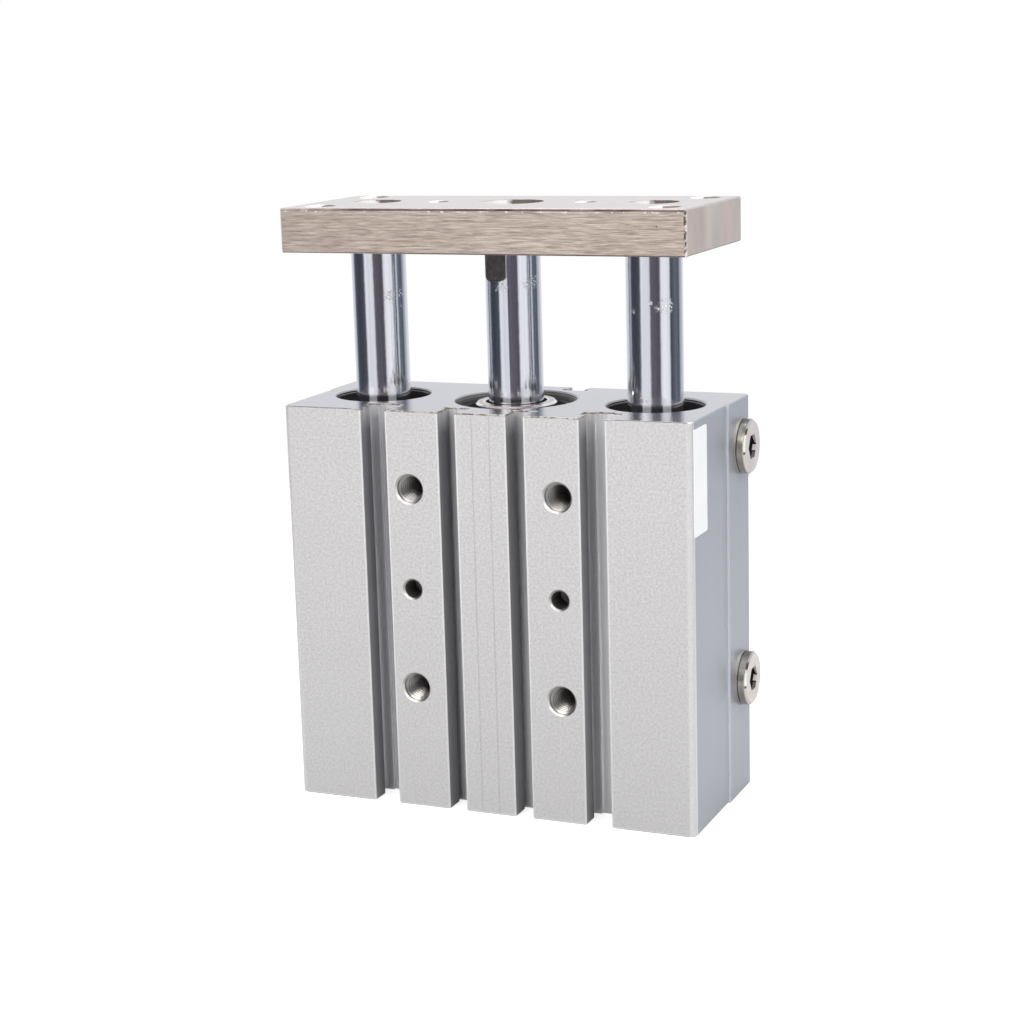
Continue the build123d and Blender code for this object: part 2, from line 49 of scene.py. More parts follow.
MM = 0.001
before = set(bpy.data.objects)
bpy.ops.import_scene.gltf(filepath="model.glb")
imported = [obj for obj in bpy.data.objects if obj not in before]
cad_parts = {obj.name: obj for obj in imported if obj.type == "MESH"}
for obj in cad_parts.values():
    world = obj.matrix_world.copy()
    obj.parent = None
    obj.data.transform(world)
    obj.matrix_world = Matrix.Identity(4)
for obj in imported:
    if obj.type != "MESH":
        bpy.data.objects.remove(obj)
CAD_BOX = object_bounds()
BODY_LOW, BODY_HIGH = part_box("body_block")
PLATE_LOW, PLATE_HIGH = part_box("end_plate")
FRONT, BACK = BODY_LOW.y, BODY_HIGH.y
BASE, TOP = BODY_LOW.z, BODY_HIGH.z
BAND_FACE = BODY_HIGH.x             # outer face of the raised bands on the sides
BAND_HEIGHT = 0.5 * MM
BAND_START = 3.0 * MM               # front edge of the raised bands, along Y
CORNER = BAND_FACE - 2.0 * MM       # where the front starts to turn into the side
SLOT_EDGES = (5.8 * MM, 9.8 * MM, 22.1 * MM, 27.9 * MM)   # edges of the slots' mouths, either side
SLOT_REACH = 30.0 * MM              # every slot lies nearer to the middle than this
SLOT_BACK = -11.0 * MM
SLOT_FLOOR = -13.9 * MM
GUIDE_X = 32.0 * MM
ROD_RADIUS = 6.0 * MM
BORE_RADIUS = 14.0 * MM
GUIDE_BORE_RADIUS = 11.1 * MM
MOUNT_X = 17.0 * MM                 # holes in the front and in the base, either side of the middle
BASE_HOLE_Y = 11.0 * MM
UPPER_TAP = TOP - 17.0 * MM
DOWEL = TOP - 39.0 * MM
LOWER_TAP = TOP - 61.0 * MM
TAP_RADIUS = 3.0 * MM
TAP_START = 0.75 * MM               # depths where the threads start and end
TAP_END = 11.6 * MM
PLATE_TAP_END = 8.9 * MM
PORT_X = 28.0 * MM
PORT_RADIUS = 4.86 * MM
PORT_START = 0.8 * MM
PORT_END = 5.5 * MM
PLATE_TAP_X = 39.0 * MM
PLATE_TAP_Y = 13.0 * MM
PLATE_EDGE = 0.29 * MM              # a little less than the plate's bevels are wide
# Holes in the plate: middle along X and Y, and radius
PLATE_HOLES = ((0.0, 0.0, 7.0 * MM), (-GUIDE_X, 0.0, 5.5 * MM), (GUIDE_X, 0.0, 5.5 * MM),
               (-MOUNT_X, 0.0, 2.4 * MM), (MOUNT_X, 0.0, 2.4 * MM),
               (-PLATE_TAP_X, -PLATE_TAP_Y, 3.4 * MM), (PLATE_TAP_X, -PLATE_TAP_Y, 3.4 * MM),
               (-PLATE_TAP_X, PLATE_TAP_Y, 3.4 * MM), (PLATE_TAP_X, PLATE_TAP_Y, 3.4 * MM))
# Patches of scuffs on the rods: the rod's axis, the turn round it from the front toward +X in degrees, the
# height below the plate and the patch's radius, in millimetres
GUIDE_SCUFFS = ((-32.0, 48.0, 10.8, 1.7), (-32.0, 75.0, 10.0, 1.3), (-32.0, 80.0, 12.9, 0.8),
                (32.0, 43.0, 11.5, 2.0), (32.0, 24.0, 12.0, 0.8), (32.0, 10.0, 10.8, 0.7),
                (32.0, -27.0, 12.6, 0.8))
PISTON_SCUFFS = ((0.0, 51.0, 7.5, 1.2), (0.0, 72.0, 7.2, 1.6), (0.0, 2.0, 8.0, 1.3), (0.0, -14.0, 8.3, 0.8))


# Sizes and colours that a user may change

class CylinderSizes(bpy.types.PropertyGroup):
    """Lengths of the added pieces, of the floor and of the camera's lens."""

    screw_pitch: FloatProperty(
        name="Screw pitch", description="Pitch of the tapped holes",
        default=1.0 * MM, unit="LENGTH")
    screw_crest: FloatProperty(
        name="Screw thread crest", description="Radius of the thread's crest in the tapped holes",
        default=2.5 * MM, unit="LENGTH")
    port_pitch: FloatProperty(
        name="Port pitch", description="Pitch of the air ports' thread",
        default=0.907 * MM, unit="LENGTH")
    port_crest: FloatProperty(
        name="Port thread crest", description="Radius of the thread's crest in the air ports",
        default=4.3 * MM, unit="LENGTH")
    thread_steps: IntProperty(
        name="Thread steps", description="Steps in one turn of a thread", default=40, min=12)
    label_thickness: FloatProperty(
        name="Label thickness", description="Thickness of the blank label on the side",
        default=0.12 * MM, unit="LENGTH")
    label_corner: FloatProperty(
        name="Label corner", description="Radius of the label's corners",
        default=0.5 * MM, unit="LENGTH")
    floor_radius: FloatProperty(
        name="Floor radius", description="Radius of the floor under the cylinder",
        default=0.36, unit="LENGTH")
    lens: FloatProperty(
        name="Lens", description="Focal length of the camera in millimetres", default=76.544)


class CylinderColours(bpy.types.PropertyGroup):
    """Colours of the finishes."""

    blasted_light: FloatVectorProperty(
        name="Blasted light", description="Light grains of the blasted aluminium",
        default=(0.732, 0.719, 0.712), subtype="COLOR", size=3)
    blasted_dark: FloatVectorProperty(
        name="Blasted dark", description="Dark grains of the blasted aluminium",
        default=(0.563, 0.555, 0.552), subtype="COLOR", size=3)
    drawn: FloatVectorProperty(
        name="Drawn aluminium", description="Smooth drawn faces of the extrusion",
        default=(0.472, 0.489, 0.531), subtype="COLOR", size=3)
    plate_light: FloatVectorProperty(
        name="Plate light", description="Raised streaks of the nickel plate",
        default=(0.665, 0.565, 0.485), subtype="COLOR", size=3)
    plate_dark: FloatVectorProperty(
        name="Plate dark", description="Valleys of the nickel plate",
        default=(0.33, 0.27, 0.225), subtype="COLOR", size=3)
    chrome: FloatVectorProperty(
        name="Chrome", description="Hard chrome of the rods",
        default=(0.82, 0.83, 0.86), subtype="COLOR", size=3)
    nickel: FloatVectorProperty(
        name="Nickel", description="Nickel of the rod cover",
        default=(0.78, 0.75, 0.70), subtype="COLOR", size=3)
    steel: FloatVectorProperty(
        name="Steel", description="Plain steel of the screws and the bushings",
        default=(0.42, 0.42, 0.43), subtype="COLOR", size=3)
    dark_steel: FloatVectorProperty(
        name="Dark steel", description="Oxidised steel of the retaining rings",
        default=(0.12, 0.118, 0.12), subtype="COLOR", size=3)
    rubber: FloatVectorProperty(
        name="Rubber", description="Seals, wipers and bumpers",
        default=(0.02, 0.02, 0.022), subtype="COLOR", size=3)
    bronze: FloatVectorProperty(
        name="Bronze", description="Rod bush",
        default=(0.52, 0.36, 0.20), subtype="COLOR", size=3)
    resin: FloatVectorProperty(
        name="Resin", description="Ball cages and wear ring",
        default=(0.16, 0.15, 0.13), subtype="COLOR", size=3)
    label: FloatVectorProperty(
        name="Label", description="Blank paper label",
        default=(0.99, 0.985, 0.98), subtype="COLOR", size=3)


def sizes():
    return bpy.context.scene.cylinder_sizes


def colours():
    return bpy.context.scene.cylinder_colours


# Surfaces

def closed_volume(points, faces):
    """Six times the volume inside triangles that fan out from each face's first corner."""
    total = 0.0
    for face in faces:
        a = points[face[:, 0]]
        for corner in range(1, face.shape[1] - 1):
            b, c = points[face[:, corner]], points[face[:, corner + 1]]
            total += float(np.sum(a * np.cross(b, c)))
    return total


def swept_piece(name, rings, material, body):
    """Closed skin over rings[i, j] = point j of section i: quads between neighbouring sections, and the
    first and the last section as end faces."""
    count, around = rings.shape[:2]
    points = rings.reshape(-1, 3)
    i, j = np.meshgrid(np.arange(count - 1), np.arange(around), indexing="ij")
    here = i * around + j
    side = i * around + (j + 1) % around
    quads = np.stack([here, side, side + around, here + around], axis=-1).reshape(-1, 4)
    first = np.arange(around)[::-1][None, :]
    last = np.arange(around)[None, :] + (count - 1) * around
    middle = points.mean(axis=0)
    faces = [quads, first, last]
    if closed_volume(points - middle, faces) < 0:
        faces = [f[:, ::-1] for f in faces]
    mesh = bpy.data.meshes.new(name)
    mesh.from_pydata(points.tolist(), [], [row for f in faces for row in f.tolist()])
    mesh.materials.append(material)
    piece = bpy.data.objects.new(name, mesh)
    bpy.context.scene.collection.objects.link(piece)
    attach(piece, body)
    return piece


def thread_rings(mouth, inward, wall, crest, pitch, start, end, steps):
    """Sections of a thread ridge. At the turn angle t the section sits at depth start + pitch t / 2 pi along
    the inward axis, and its four corners lie at the wall and at the crest, above and below. The ridge's
    height grows over the first half turn and fades over the last."""
    mouth, inward = np.array(mouth, float), np.array(inward, float)
    across = np.array([0.0, 0.0, 1.0]) if abs(inward[2]) < 0.5 else np.array([1.0, 0.0, 0.0])
    up = np.cross(inward, across)
    turns = (end - start) / pitch
    turn = np.linspace(0.0, 2 * math.pi * turns, int(steps * turns) + 1)
    grow = np.clip(np.minimum(turn, turn[-1] - turn) / math.pi, 0.02, 1.0)
    root = np.full_like(turn, wall)
    tip = wall - (wall - crest) * grow
    radius = np.stack([root, tip, tip, root], axis=1)
    half = np.array([-0.46, -0.10, 0.10, 0.46]) * pitch
    depth = start + pitch * turn[:, None] / (2 * math.pi) + half[None, :] * grow[:, None]
    direction = across[None, :] * np.cos(turn)[:, None] + up[None, :] * np.sin(turn)[:, None]
    return mouth + radius[..., None] * direction[:, None, :] + depth[..., None] * inward


def rounded_outline(half_width, half_height, corner, steps=6):
    """Rounded rectangle: four quarter circles about the corner centres, joined by straight edges."""
    turn = np.linspace(0.0, math.pi / 2, steps)
    points = []
    for k, (sx, sy) in enumerate(((1, 1), (-1, 1), (-1, -1), (1, -1))):
        angle = turn + k * math.pi / 2
        points.append(np.stack([sx * (half_width - corner) + corner * np.cos(angle),
                                sy * (half_height - corner) + corner * np.sin(angle)], axis=1))
    return np.concatenate(points)


# Finishes

def shade(colour, factor):
    """Colour made darker or lighter by a factor."""
    return tuple(v * factor for v in colour)


class Nodes:
    """A node tree, with short calls for the nodes that the finishes and the surround share."""

    def __init__(self, tree):
        self.tree = tree

    def node(self, kind, **settings):
        made = self.tree.nodes.new(kind)
        for key, value in settings.items():
            setattr(made, key, value)
        return made

    def put(self, socket, value):
        if isinstance(value, bpy.types.NodeSocket):
            self.tree.links.new(value, socket)
        elif hasattr(socket.default_value, "__len__") and len(value) == 3 and len(socket.default_value) == 4:
            socket.default_value = (*value, 1.0)
        else:
            socket.default_value = value

    def maths(self, operation, a, b=0.0, c=0.0):
        made = self.node("ShaderNodeMath", operation=operation)
        self.put(made.inputs[0], a)
        self.put(made.inputs[1], b)
        self.put(made.inputs[2], c)
        return made.outputs[0]

    def times(self, first, *others):
        """Product of all the values."""
        for value in others:
            first = self.maths("MULTIPLY", first, value)
        return first

    def plus(self, a, b):
        return self.maths("ADD", a, b)

    def minus(self, a, b):
        return self.maths("SUBTRACT", a, b)

    def size_of(self, value):
        return self.maths("ABSOLUTE", value)

    def apart(self, a, b):
        """Distance between two numbers."""
        return self.size_of(self.minus(a, b))

    def either(self, a, b):
        """The larger of two masks."""
        return self.maths("MAXIMUM", a, b)

    def outside(self, part):
        """What a mask leaves out."""
        return self.minus(1.0, part)

    def step(self, value, low, high, to_low=0.0, to_high=1.0):
        """Value taken from low..high to to_low..to_high, held at both ends."""
        made = self.node("ShaderNodeMapRange", clamp=True)
        self.put(made.inputs["Value"], value)
        made.inputs["From Min"].default_value = low
        made.inputs["From Max"].default_value = high
        made.inputs["To Min"].default_value = to_low
        made.inputs["To Max"].default_value = to_high
        return made.outputs["Result"]

    def beyond(self, value, limit):
        """1 where the value is above the limit, else 0."""
        return self.maths("GREATER_THAN", value, limit)

    def short_of(self, value, limit):
        """1 where the value is below the limit, else 0."""
        return self.maths("LESS_THAN", value, limit)

    def inside_circle(self, u, v, middle_u, middle_v, radius):
        """1 where the point (u, v) is nearer than the radius to the middle, else 0."""
        across, along = self.minus(u, middle_u), self.minus(v, middle_v)
        square = self.plus(self.times(across, across), self.times(along, along))
        return self.short_of(square, radius * radius)

    def around(self, turn, middle, half):
        """1 where the turn lies within half of the middle, with a soft edge of two degrees, else 0."""
        away = self.apart(turn, math.radians(middle))
        return self.step(away, math.radians(half - 1.0), math.radians(half + 1.0), 1.0, 0.0)

    def mix(self, part, a, b):
        made = self.node("ShaderNodeMix", data_type="RGBA")
        self.put(made.inputs[0], part)
        self.put(made.inputs[6], a)
        self.put(made.inputs[7], b)
        return made.outputs[2]

    def grade(self, value, a, b, low=0.3, high=0.7):
        """Colour that turns from a to b as the value rises from low to high."""
        return self.mix(self.step(value, low, high), a, b)

    def blend(self, part, a, b):
        """Number between a and b."""
        made = self.node("ShaderNodeMix", data_type="FLOAT")
        self.put(made.inputs[0], part)
        self.put(made.inputs[2], a)
        self.put(made.inputs[3], b)
        return made.outputs[0]


class Finish(Nodes):
    """A node material under a plain name, with patterns that follow the part's own coordinates."""

    def __init__(self, name):
        self.material = bpy.data.materials.new(name)
        self.material.use_nodes = True
        super().__init__(self.material.node_tree)
        self.shader = self.tree.nodes["Principled BSDF"]
        self.place = self.node("ShaderNodeTexCoord").outputs["Object"]

    def axes(self):
        made = self.node("ShaderNodeSeparateXYZ")
        self.put(made.inputs[0], self.place)
        return made.outputs

    def stretched(self, scale, turn=(0.0, 0.0, 0.0), shift=(0.0, 0.0, 0.0)):
        made = self.node("ShaderNodeMapping")
        self.put(made.inputs["Vector"], self.place)
        made.inputs["Scale"].default_value = scale
        made.inputs["Rotation"].default_value = turn
        made.inputs["Location"].default_value = shift
        return made.outputs[0]

    def noise(self, scale, detail=2.0, roughness=0.5, distortion=0.0, vector=None):
        made = self.node("ShaderNodeTexNoise")
        self.put(made.inputs["Vector"], vector or self.place)
        made.inputs["Scale"].default_value = scale
        made.inputs["Detail"].default_value = detail
        made.inputs["Roughness"].default_value = roughness
        made.inputs["Distortion"].default_value = distortion
        return made.outputs["Fac"]

    def bump(self, height, distance, strength):
        made = self.node("ShaderNodeBump")
        self.put(made.inputs["Height"], height)
        self.put(made.inputs["Strength"], strength)
        made.inputs["Distance"].default_value = distance
        return made.outputs["Normal"]

    def done(self, colour, roughness, metallic, normal=None):
        self.put(self.shader.inputs["Base Color"], colour)
        self.put(self.shader.inputs["Roughness"], roughness)
        self.put(self.shader.inputs["Metallic"], metallic)
        if normal is not None:
            self.put(self.shader.inputs["Normal"], normal)
        return self.material


def blasted_front(f, x, z, rounded, grain):
    """Anodised grains, with painted highlights that pale them along the slots, the base and the rounded
    corners, painted shade that greys them toward the base, and a scribed line either side of the middle."""
    c, wide = colours(), f.size_of(x)
    tone = f.grade(grain, c.blasted_dark, c.blasted_light, 0.36, 0.64)
    tone = f.mix(f.step(f.noise(70.0, 3.0, 0.5), 0.3, 0.7, 0.0, 0.12), tone, (0.62, 0.60, 0.59))
    # Painted highlights: pale lines along the slots' edges.
    for edge in SLOT_EDGES:
        painted_edge_highlight = f.step(f.apart(wide, edge), 0.12 * MM, 0.45 * MM, 0.55, 0.0)
        tone = f.mix(painted_edge_highlight, tone, (0.98, 0.97, 0.96))
    # Painted shade: greyer toward the base.
    tone = f.mix(f.step(z, BASE, TOP - 18.0 * MM, 0.27, 0.0), tone, (0.41, 0.415, 0.43))
    # Painted highlight: a pale line along the base.
    tone = f.mix(f.step(z, BASE + 0.2 * MM, BASE + 0.5 * MM, 0.5, 0.0), tone, (0.96, 0.95, 0.95))
    # Painted highlight: paler on the rounded corners.
    turned = f.times(rounded, f.step(wide, CORNER, CORNER + 0.5 * MM, 0.0, 0.42))
    tone = f.mix(turned, tone, (0.86, 0.855, 0.85))
    scribed = f.step(f.apart(wide, 2.0 * MM), 0.10 * MM, 0.20 * MM, 0.30, 0.0)
    return f.mix(scribed, tone, (0.42, 0.41, 0.42))


def drawn_sides(f, x, y, z, slots, lines):
    """Sides and slots with lines along the extrusion: slot walls with painted shade that darkens with depth,
    slot floors made bright by painted light, painted light that pales the slots toward the top, and painted
    highlights along the slots' front lips, on the bands' step faces and along the raised bands' edges."""
    c, wide = colours(), f.size_of(x)
    tone = f.grade(lines, shade(c.drawn, 0.95), shade(c.drawn, 1.05))
    floors = f.times(slots, f.beyond(y, SLOT_FLOOR))
    walls = f.minus(slots, floors)
    # Painted shade: slot walls darken from the mouth inward.
    mouth = f.grade(lines, (0.32, 0.32, 0.335), (0.39, 0.39, 0.405))
    inner = f.grade(lines, (0.12, 0.12, 0.125), (0.17, 0.17, 0.175))
    tone = f.mix(walls, tone, f.mix(f.step(y, FRONT + 0.5 * MM, FRONT + 4.8 * MM), mouth, inner))
    # Painted light: bright slot floors, less bright toward -X.
    left_floor = f.grade(lines, (0.70, 0.70, 0.72), (0.97, 0.97, 1.0), 0.35, 0.65)
    right_floor = f.grade(lines, (0.88, 0.88, 0.90), (1.0, 1.0, 1.0), 0.35, 0.65)
    tone = f.mix(floors, tone, f.mix(f.step(x, -12.0 * MM, 24.0 * MM), left_floor, right_floor))
    # Painted light: slots paler toward the top.
    near_top = f.times(slots, f.step(z, TOP - 5.0 * MM, TOP, 0.0, 0.7))
    tone = f.mix(near_top, tone, f.grade(lines, (0.62, 0.61, 0.61), (0.88, 0.87, 0.86)))
    # Painted highlight along the slots' front lips.
    lip = f.times(f.short_of(wide, SLOT_REACH), f.short_of(y, FRONT + 0.30 * MM))
    tone = f.mix(lip, tone, (0.86, 0.855, 0.85))
    # Painted light: a pale step face where the raised bands start.
    step_face = f.times(f.beyond(wide, BAND_FACE - 0.48 * MM), f.short_of(f.apart(y, BAND_START), 0.02 * MM))
    tone = f.mix(step_face, tone, (0.95, 0.96, 0.98))
    # Painted highlight along the raised bands' front edges.
    band_edge = f.short_of(f.apart(y, BAND_START + 0.25 * MM), 0.24 * MM)
    band_edge = f.times(f.beyond(wide, BAND_FACE - 0.02 * MM), band_edge)
    return f.mix(band_edge, tone, shade(c.drawn, 1.25))


def top_edge_shade_and_burrs(f, y, z, slots, cut, colour):
    """Painted shade as a ragged brown line along the front edge of the top, and ragged brown burrs round the
    slots' upper ends.
    """
    chipped = f.noise(1100.0, 3.0, 0.7, 0.6)
    # Painted shade: a ragged brown line on the top's front edge.
    top_front_shade = f.times(f.beyond(z, TOP - 0.19 * MM), f.short_of(y, FRONT + 0.19 * MM))
    colour = f.mix(top_front_shade, colour, f.grade(chipped, (0.15, 0.125, 0.11), (0.25, 0.225, 0.21), 0.42, 0.58))
    burr = f.times(slots, f.beyond(z, TOP - 0.34 * MM), f.outside(cut))
    return f.mix(burr, colour, f.grade(chipped, (0.17, 0.14, 0.12), (0.50, 0.47, 0.44), 0.44, 0.56))


def bore_walls(f, x, y, z, cut, colour):
    """Walls of the three bores: painted shade black in front and dull behind, a rim with painted shade in
    front, painted highlights as a pale rim and a pale line over the retaining ring at the back, and two
    painted reflections as gleams on the front wall that carry on the rods' bright bands. Returns the colour
    and the part of the walls near the top."""
    behind = f.step(y, -5.0 * MM, -1.0 * MM)
    rim = f.times(f.beyond(z, TOP - 0.32 * MM), f.outside(cut))
    below = f.short_of(z, TOP - 0.32 * MM)
    ring_line = f.short_of(f.apart(z, TOP - 0.72 * MM), 0.13 * MM)
    upper_walls = 0.0
    for middle, radius, back in ((-GUIDE_X, GUIDE_BORE_RADIUS, 0.045), (0.0, BORE_RADIUS, 0.24),
                                 (GUIDE_X, GUIDE_BORE_RADIUS, 0.045)):
        bore = f.inside_circle(x, y, middle, 0.0, radius)
        wall = f.times(bore, below)
        # Painted shade: black walls in front, dull behind.
        colour = f.mix(wall, colour, f.mix(behind, (0.06, 0.06, 0.063), (back, back * 0.97, back * 0.97)))
        # Painted highlight: a pale line over the retaining ring at the back.
        colour = f.mix(f.times(wall, ring_line, behind), colour, (0.50, 0.50, 0.51))
        # Painted shade on the rim in front, painted highlight on the rim behind.
        colour = f.mix(f.times(bore, rim), colour, f.mix(behind, (0.11, 0.11, 0.115), (0.45, 0.46, 0.48)))
        # Painted reflections: two gleams on the front wall.
        turn = f.maths("ARCTAN2", f.minus(x, middle), f.times(y, -1.0))
        gleam = f.either(f.around(turn, -8.0, 13.0), f.around(turn, 52.5, 13.0))
        colour = f.mix(f.times(bore, f.outside(cut), gleam), colour, (1.0, 1.0, 1.0))
        upper_walls = f.either(upper_walls, f.times(bore, f.beyond(z, TOP - 12.0 * MM)))
    return colour, upper_walls


def mounting_holes(f, x, y, z, blasted, colour):
    """Tapped and dowel holes in the front: painted shade dark below and painted light paler above, evener
    with depth, and a painted highlight on a pale mouth at the lower left."""
    depth = f.step(y, FRONT + 0.7 * MM, FRONT + 8.0 * MM)
    mouth = f.step(y, FRONT + 0.60 * MM, FRONT + 0.75 * MM, 1.0, 0.0)
    holes = ((UPPER_TAP, 3.8 * MM, 0.40), (DOWEL, 2.7 * MM, 0.24), (LOWER_TAP, 3.8 * MM, 0.36))
    for middle in (-MOUNT_X, MOUNT_X):
        for level, radius, end in holes:
            hole = f.times(f.inside_circle(x, z, middle, level, radius), f.outside(blasted))
            rise = f.step(z, level - 2.0 * MM, level + 2.0 * MM)
            # Painted shade below, painted light above.
            wall = f.mix(rise, (0.16, 0.15, 0.145), (0.50, 0.48, 0.46))
            # Painted highlight on the mouth at the lower left.
            slant = f.plus(f.minus(x, middle), f.minus(z, level))
            painted_edge_highlight = f.times(f.step(slant, -3.2 * MM, -1.6 * MM, 1.0, 0.0), mouth)
            wall = f.mix(painted_edge_highlight, wall, (0.66, 0.635, 0.60))
            # Deeper in the holes the painted shade and light are evener.
            last = f.mix(rise, (end * 0.6, end * 0.58, end * 0.56), (end, end * 0.97, end * 0.94))
            colour = f.mix(hole, colour, f.mix(depth, wall, last))
    return colour


def blasted_extrusion():
    """Body: blasted, anodised front and back, drawn sides and slots, faced ends with fine cutter lines,
    painted highlights along edges, and slots, bores and tapped holes with painted shade that darkens with
    depth."""
    f = Finish("blasted_extrusion")
    x, y, z = f.axes()
    wide = f.size_of(x)
    rounded = f.times(f.beyond(wide, CORNER), f.short_of(y, FRONT + 1.05 * MM))
    front = f.either(f.short_of(y, FRONT + 0.06 * MM), rounded)
    blasted = f.either(front, f.beyond(y, BACK - 0.06 * MM))
    cut = f.either(f.beyond(z, TOP - 0.02 * MM), f.short_of(z, BASE + 0.02 * MM))
    slots = f.times(f.short_of(wide, SLOT_REACH), f.short_of(y, SLOT_BACK))
    grain = f.noise(1900.0, 3.0, 0.65)
    lines = f.noise(1.0, 2.0, 0.6, vector=f.stretched((1500.0, 1500.0, 4.0)))
    cutter = f.noise(1.0, 2.0, 0.6, vector=f.stretched((60.0, 1800.0, 60.0)))
    drawn = drawn_sides(f, x, y, z, slots, lines)
    colour = f.mix(blasted, drawn, blasted_front(f, x, z, rounded, grain))
    # Painted highlight along the corners where the rounding ends.
    corner_edge_highlight = f.times(f.beyond(wide, CORNER), f.short_of(f.apart(y, FRONT + 1.2 * MM), 0.3 * MM))
    colour = f.mix(corner_edge_highlight, colour, (0.80, 0.80, 0.81))
    colour = f.mix(cut, colour, f.grade(cutter, (0.618, 0.600, 0.625), (0.664, 0.648, 0.673)))
    colour = top_edge_shade_and_burrs(f, y, z, slots, cut, colour)
    colour, upper_walls = bore_walls(f, x, y, z, cut, colour)
    colour = mounting_holes(f, x, y, z, blasted, colour)
    rough = f.blend(blasted, f.step(lines, 0.3, 0.7, 0.34, 0.42), f.step(grain, 0.3, 0.7, 0.50, 0.62))
    rough = f.blend(cut, rough, f.step(cutter, 0.3, 0.7, 0.23, 0.27))
    height = f.blend(blasted, f.times(lines, 0.25), grain)
    height = f.blend(cut, height, f.times(cutter, 0.05))
    metal = f.blend(f.times(upper_walls, f.outside(cut)), f.blend(cut, 0.72, 1.0), 0.0)
    return f.done(colour, rough, metal, f.bump(height, 0.03 * MM, 0.6))


def plate_edges(f, x, y, z, long_face, sloped, chipped, colour):
    """Edges of the plate: a soft bevel round the top, with a broken brown line of painted shade and pale
    flecks of painted highlight along the long faces, a dark lower edge of painted shade, a pale left edge of
    painted highlight and a torn right one with painted cream highlights."""
    long_edge = f.either(f.short_of(y, PLATE_LOW.y + 0.30 * MM), f.beyond(y, PLATE_HIGH.y - 0.30 * MM))
    fleck_highlight_row = f.times(f.beyond(z, PLATE_HIGH.z - 0.85 * MM), long_edge)
    top_edge = f.times(f.beyond(z, PLATE_HIGH.z - 0.50 * MM), long_edge, sloped)
    top_edge = f.times(top_edge, f.step(x, PLATE_LOW.x, PLATE_LOW.x + 18.0 * MM, 0.4, 1.0))
    soft_edge = f.times(f.beyond(z, PLATE_HIGH.z - PLATE_EDGE), sloped)
    low_edge = f.times(f.short_of(z, PLATE_LOW.z + PLATE_EDGE), sloped)
    right_edge = f.times(f.beyond(x, PLATE_HIGH.x - PLATE_EDGE), f.short_of(y, PLATE_LOW.y + PLATE_EDGE))
    left_edge = f.times(f.short_of(x, PLATE_LOW.x + PLATE_EDGE), long_edge)
    broken = f.noise(1.0, 2.0, 0.5, vector=f.stretched((200.0, 200.0, 260.0)))
    # The right edge's burr: dark brown with painted cream highlights.
    burr = f.grade(chipped, (0.07, 0.05, 0.04), (0.48, 0.40, 0.34), 0.40, 0.46)
    burr = f.grade(chipped, burr, (0.98, 0.94, 0.86), 0.52, 0.57)
    colour = f.mix(soft_edge, colour, (0.64, 0.56, 0.52))
    # Painted highlight on the left edge.
    colour = f.mix(left_edge, colour, (0.90, 0.80, 0.73))
    # Painted highlights on pale flecks along the long faces.
    colour = f.mix(f.times(fleck_highlight_row, f.step(chipped, 0.55, 0.62)), colour, (0.84, 0.75, 0.68))
    # Painted shade: a broken brown line on the long faces' top edge, fainter toward -X.
    brown = f.grade(broken, (0.07, 0.052, 0.046), (0.18, 0.142, 0.128), 0.40, 0.62)
    colour = f.mix(top_edge, colour, brown)
    # Painted shade on the lower edge.
    colour = f.mix(low_edge, colour, (0.26, 0.22, 0.19))
    colour = f.mix(right_edge, colour, burr)
    torn = f.times(long_face, f.beyond(x, PLATE_HIGH.x - 0.48 * MM), sloped)
    colour = f.mix(f.times(torn, f.step(chipped, 0.47, 0.53, 1.0, 0.0)), colour, (0.13, 0.095, 0.075))
    # Painted highlight: cream flecks on the end face by the front edge.
    burr_highlight = f.times(f.beyond(x, PLATE_HIGH.x - 0.02 * MM), f.short_of(y, PLATE_LOW.y + 0.85 * MM))
    return f.mix(f.times(burr_highlight, f.step(chipped, 0.46, 0.52)), colour, (1.0, 0.96, 0.88))


def plate_hole_walls(f, x, y, inside, chipped, colour):
    """Hole walls with a painted highlight cream on the left and painted shade brown on the right, with an
    uneven boundary.
    """
    uneven = f.plus(x, f.times(f.minus(chipped, 0.5), 3.0 * MM))
    for middle_x, middle_y, radius in PLATE_HOLES:
        near = f.times(inside, f.inside_circle(x, y, middle_x, middle_y, radius + 0.2 * MM))
        # Painted highlight cream on the left of each wall, painted shade brown on the right.
        wall = f.grade(uneven, (0.93, 0.90, 0.85), (0.15, 0.125, 0.11), middle_x - 0.50 * radius,
                       middle_x - 0.28 * radius)
        colour = f.mix(near, colour, wall)
    return colour


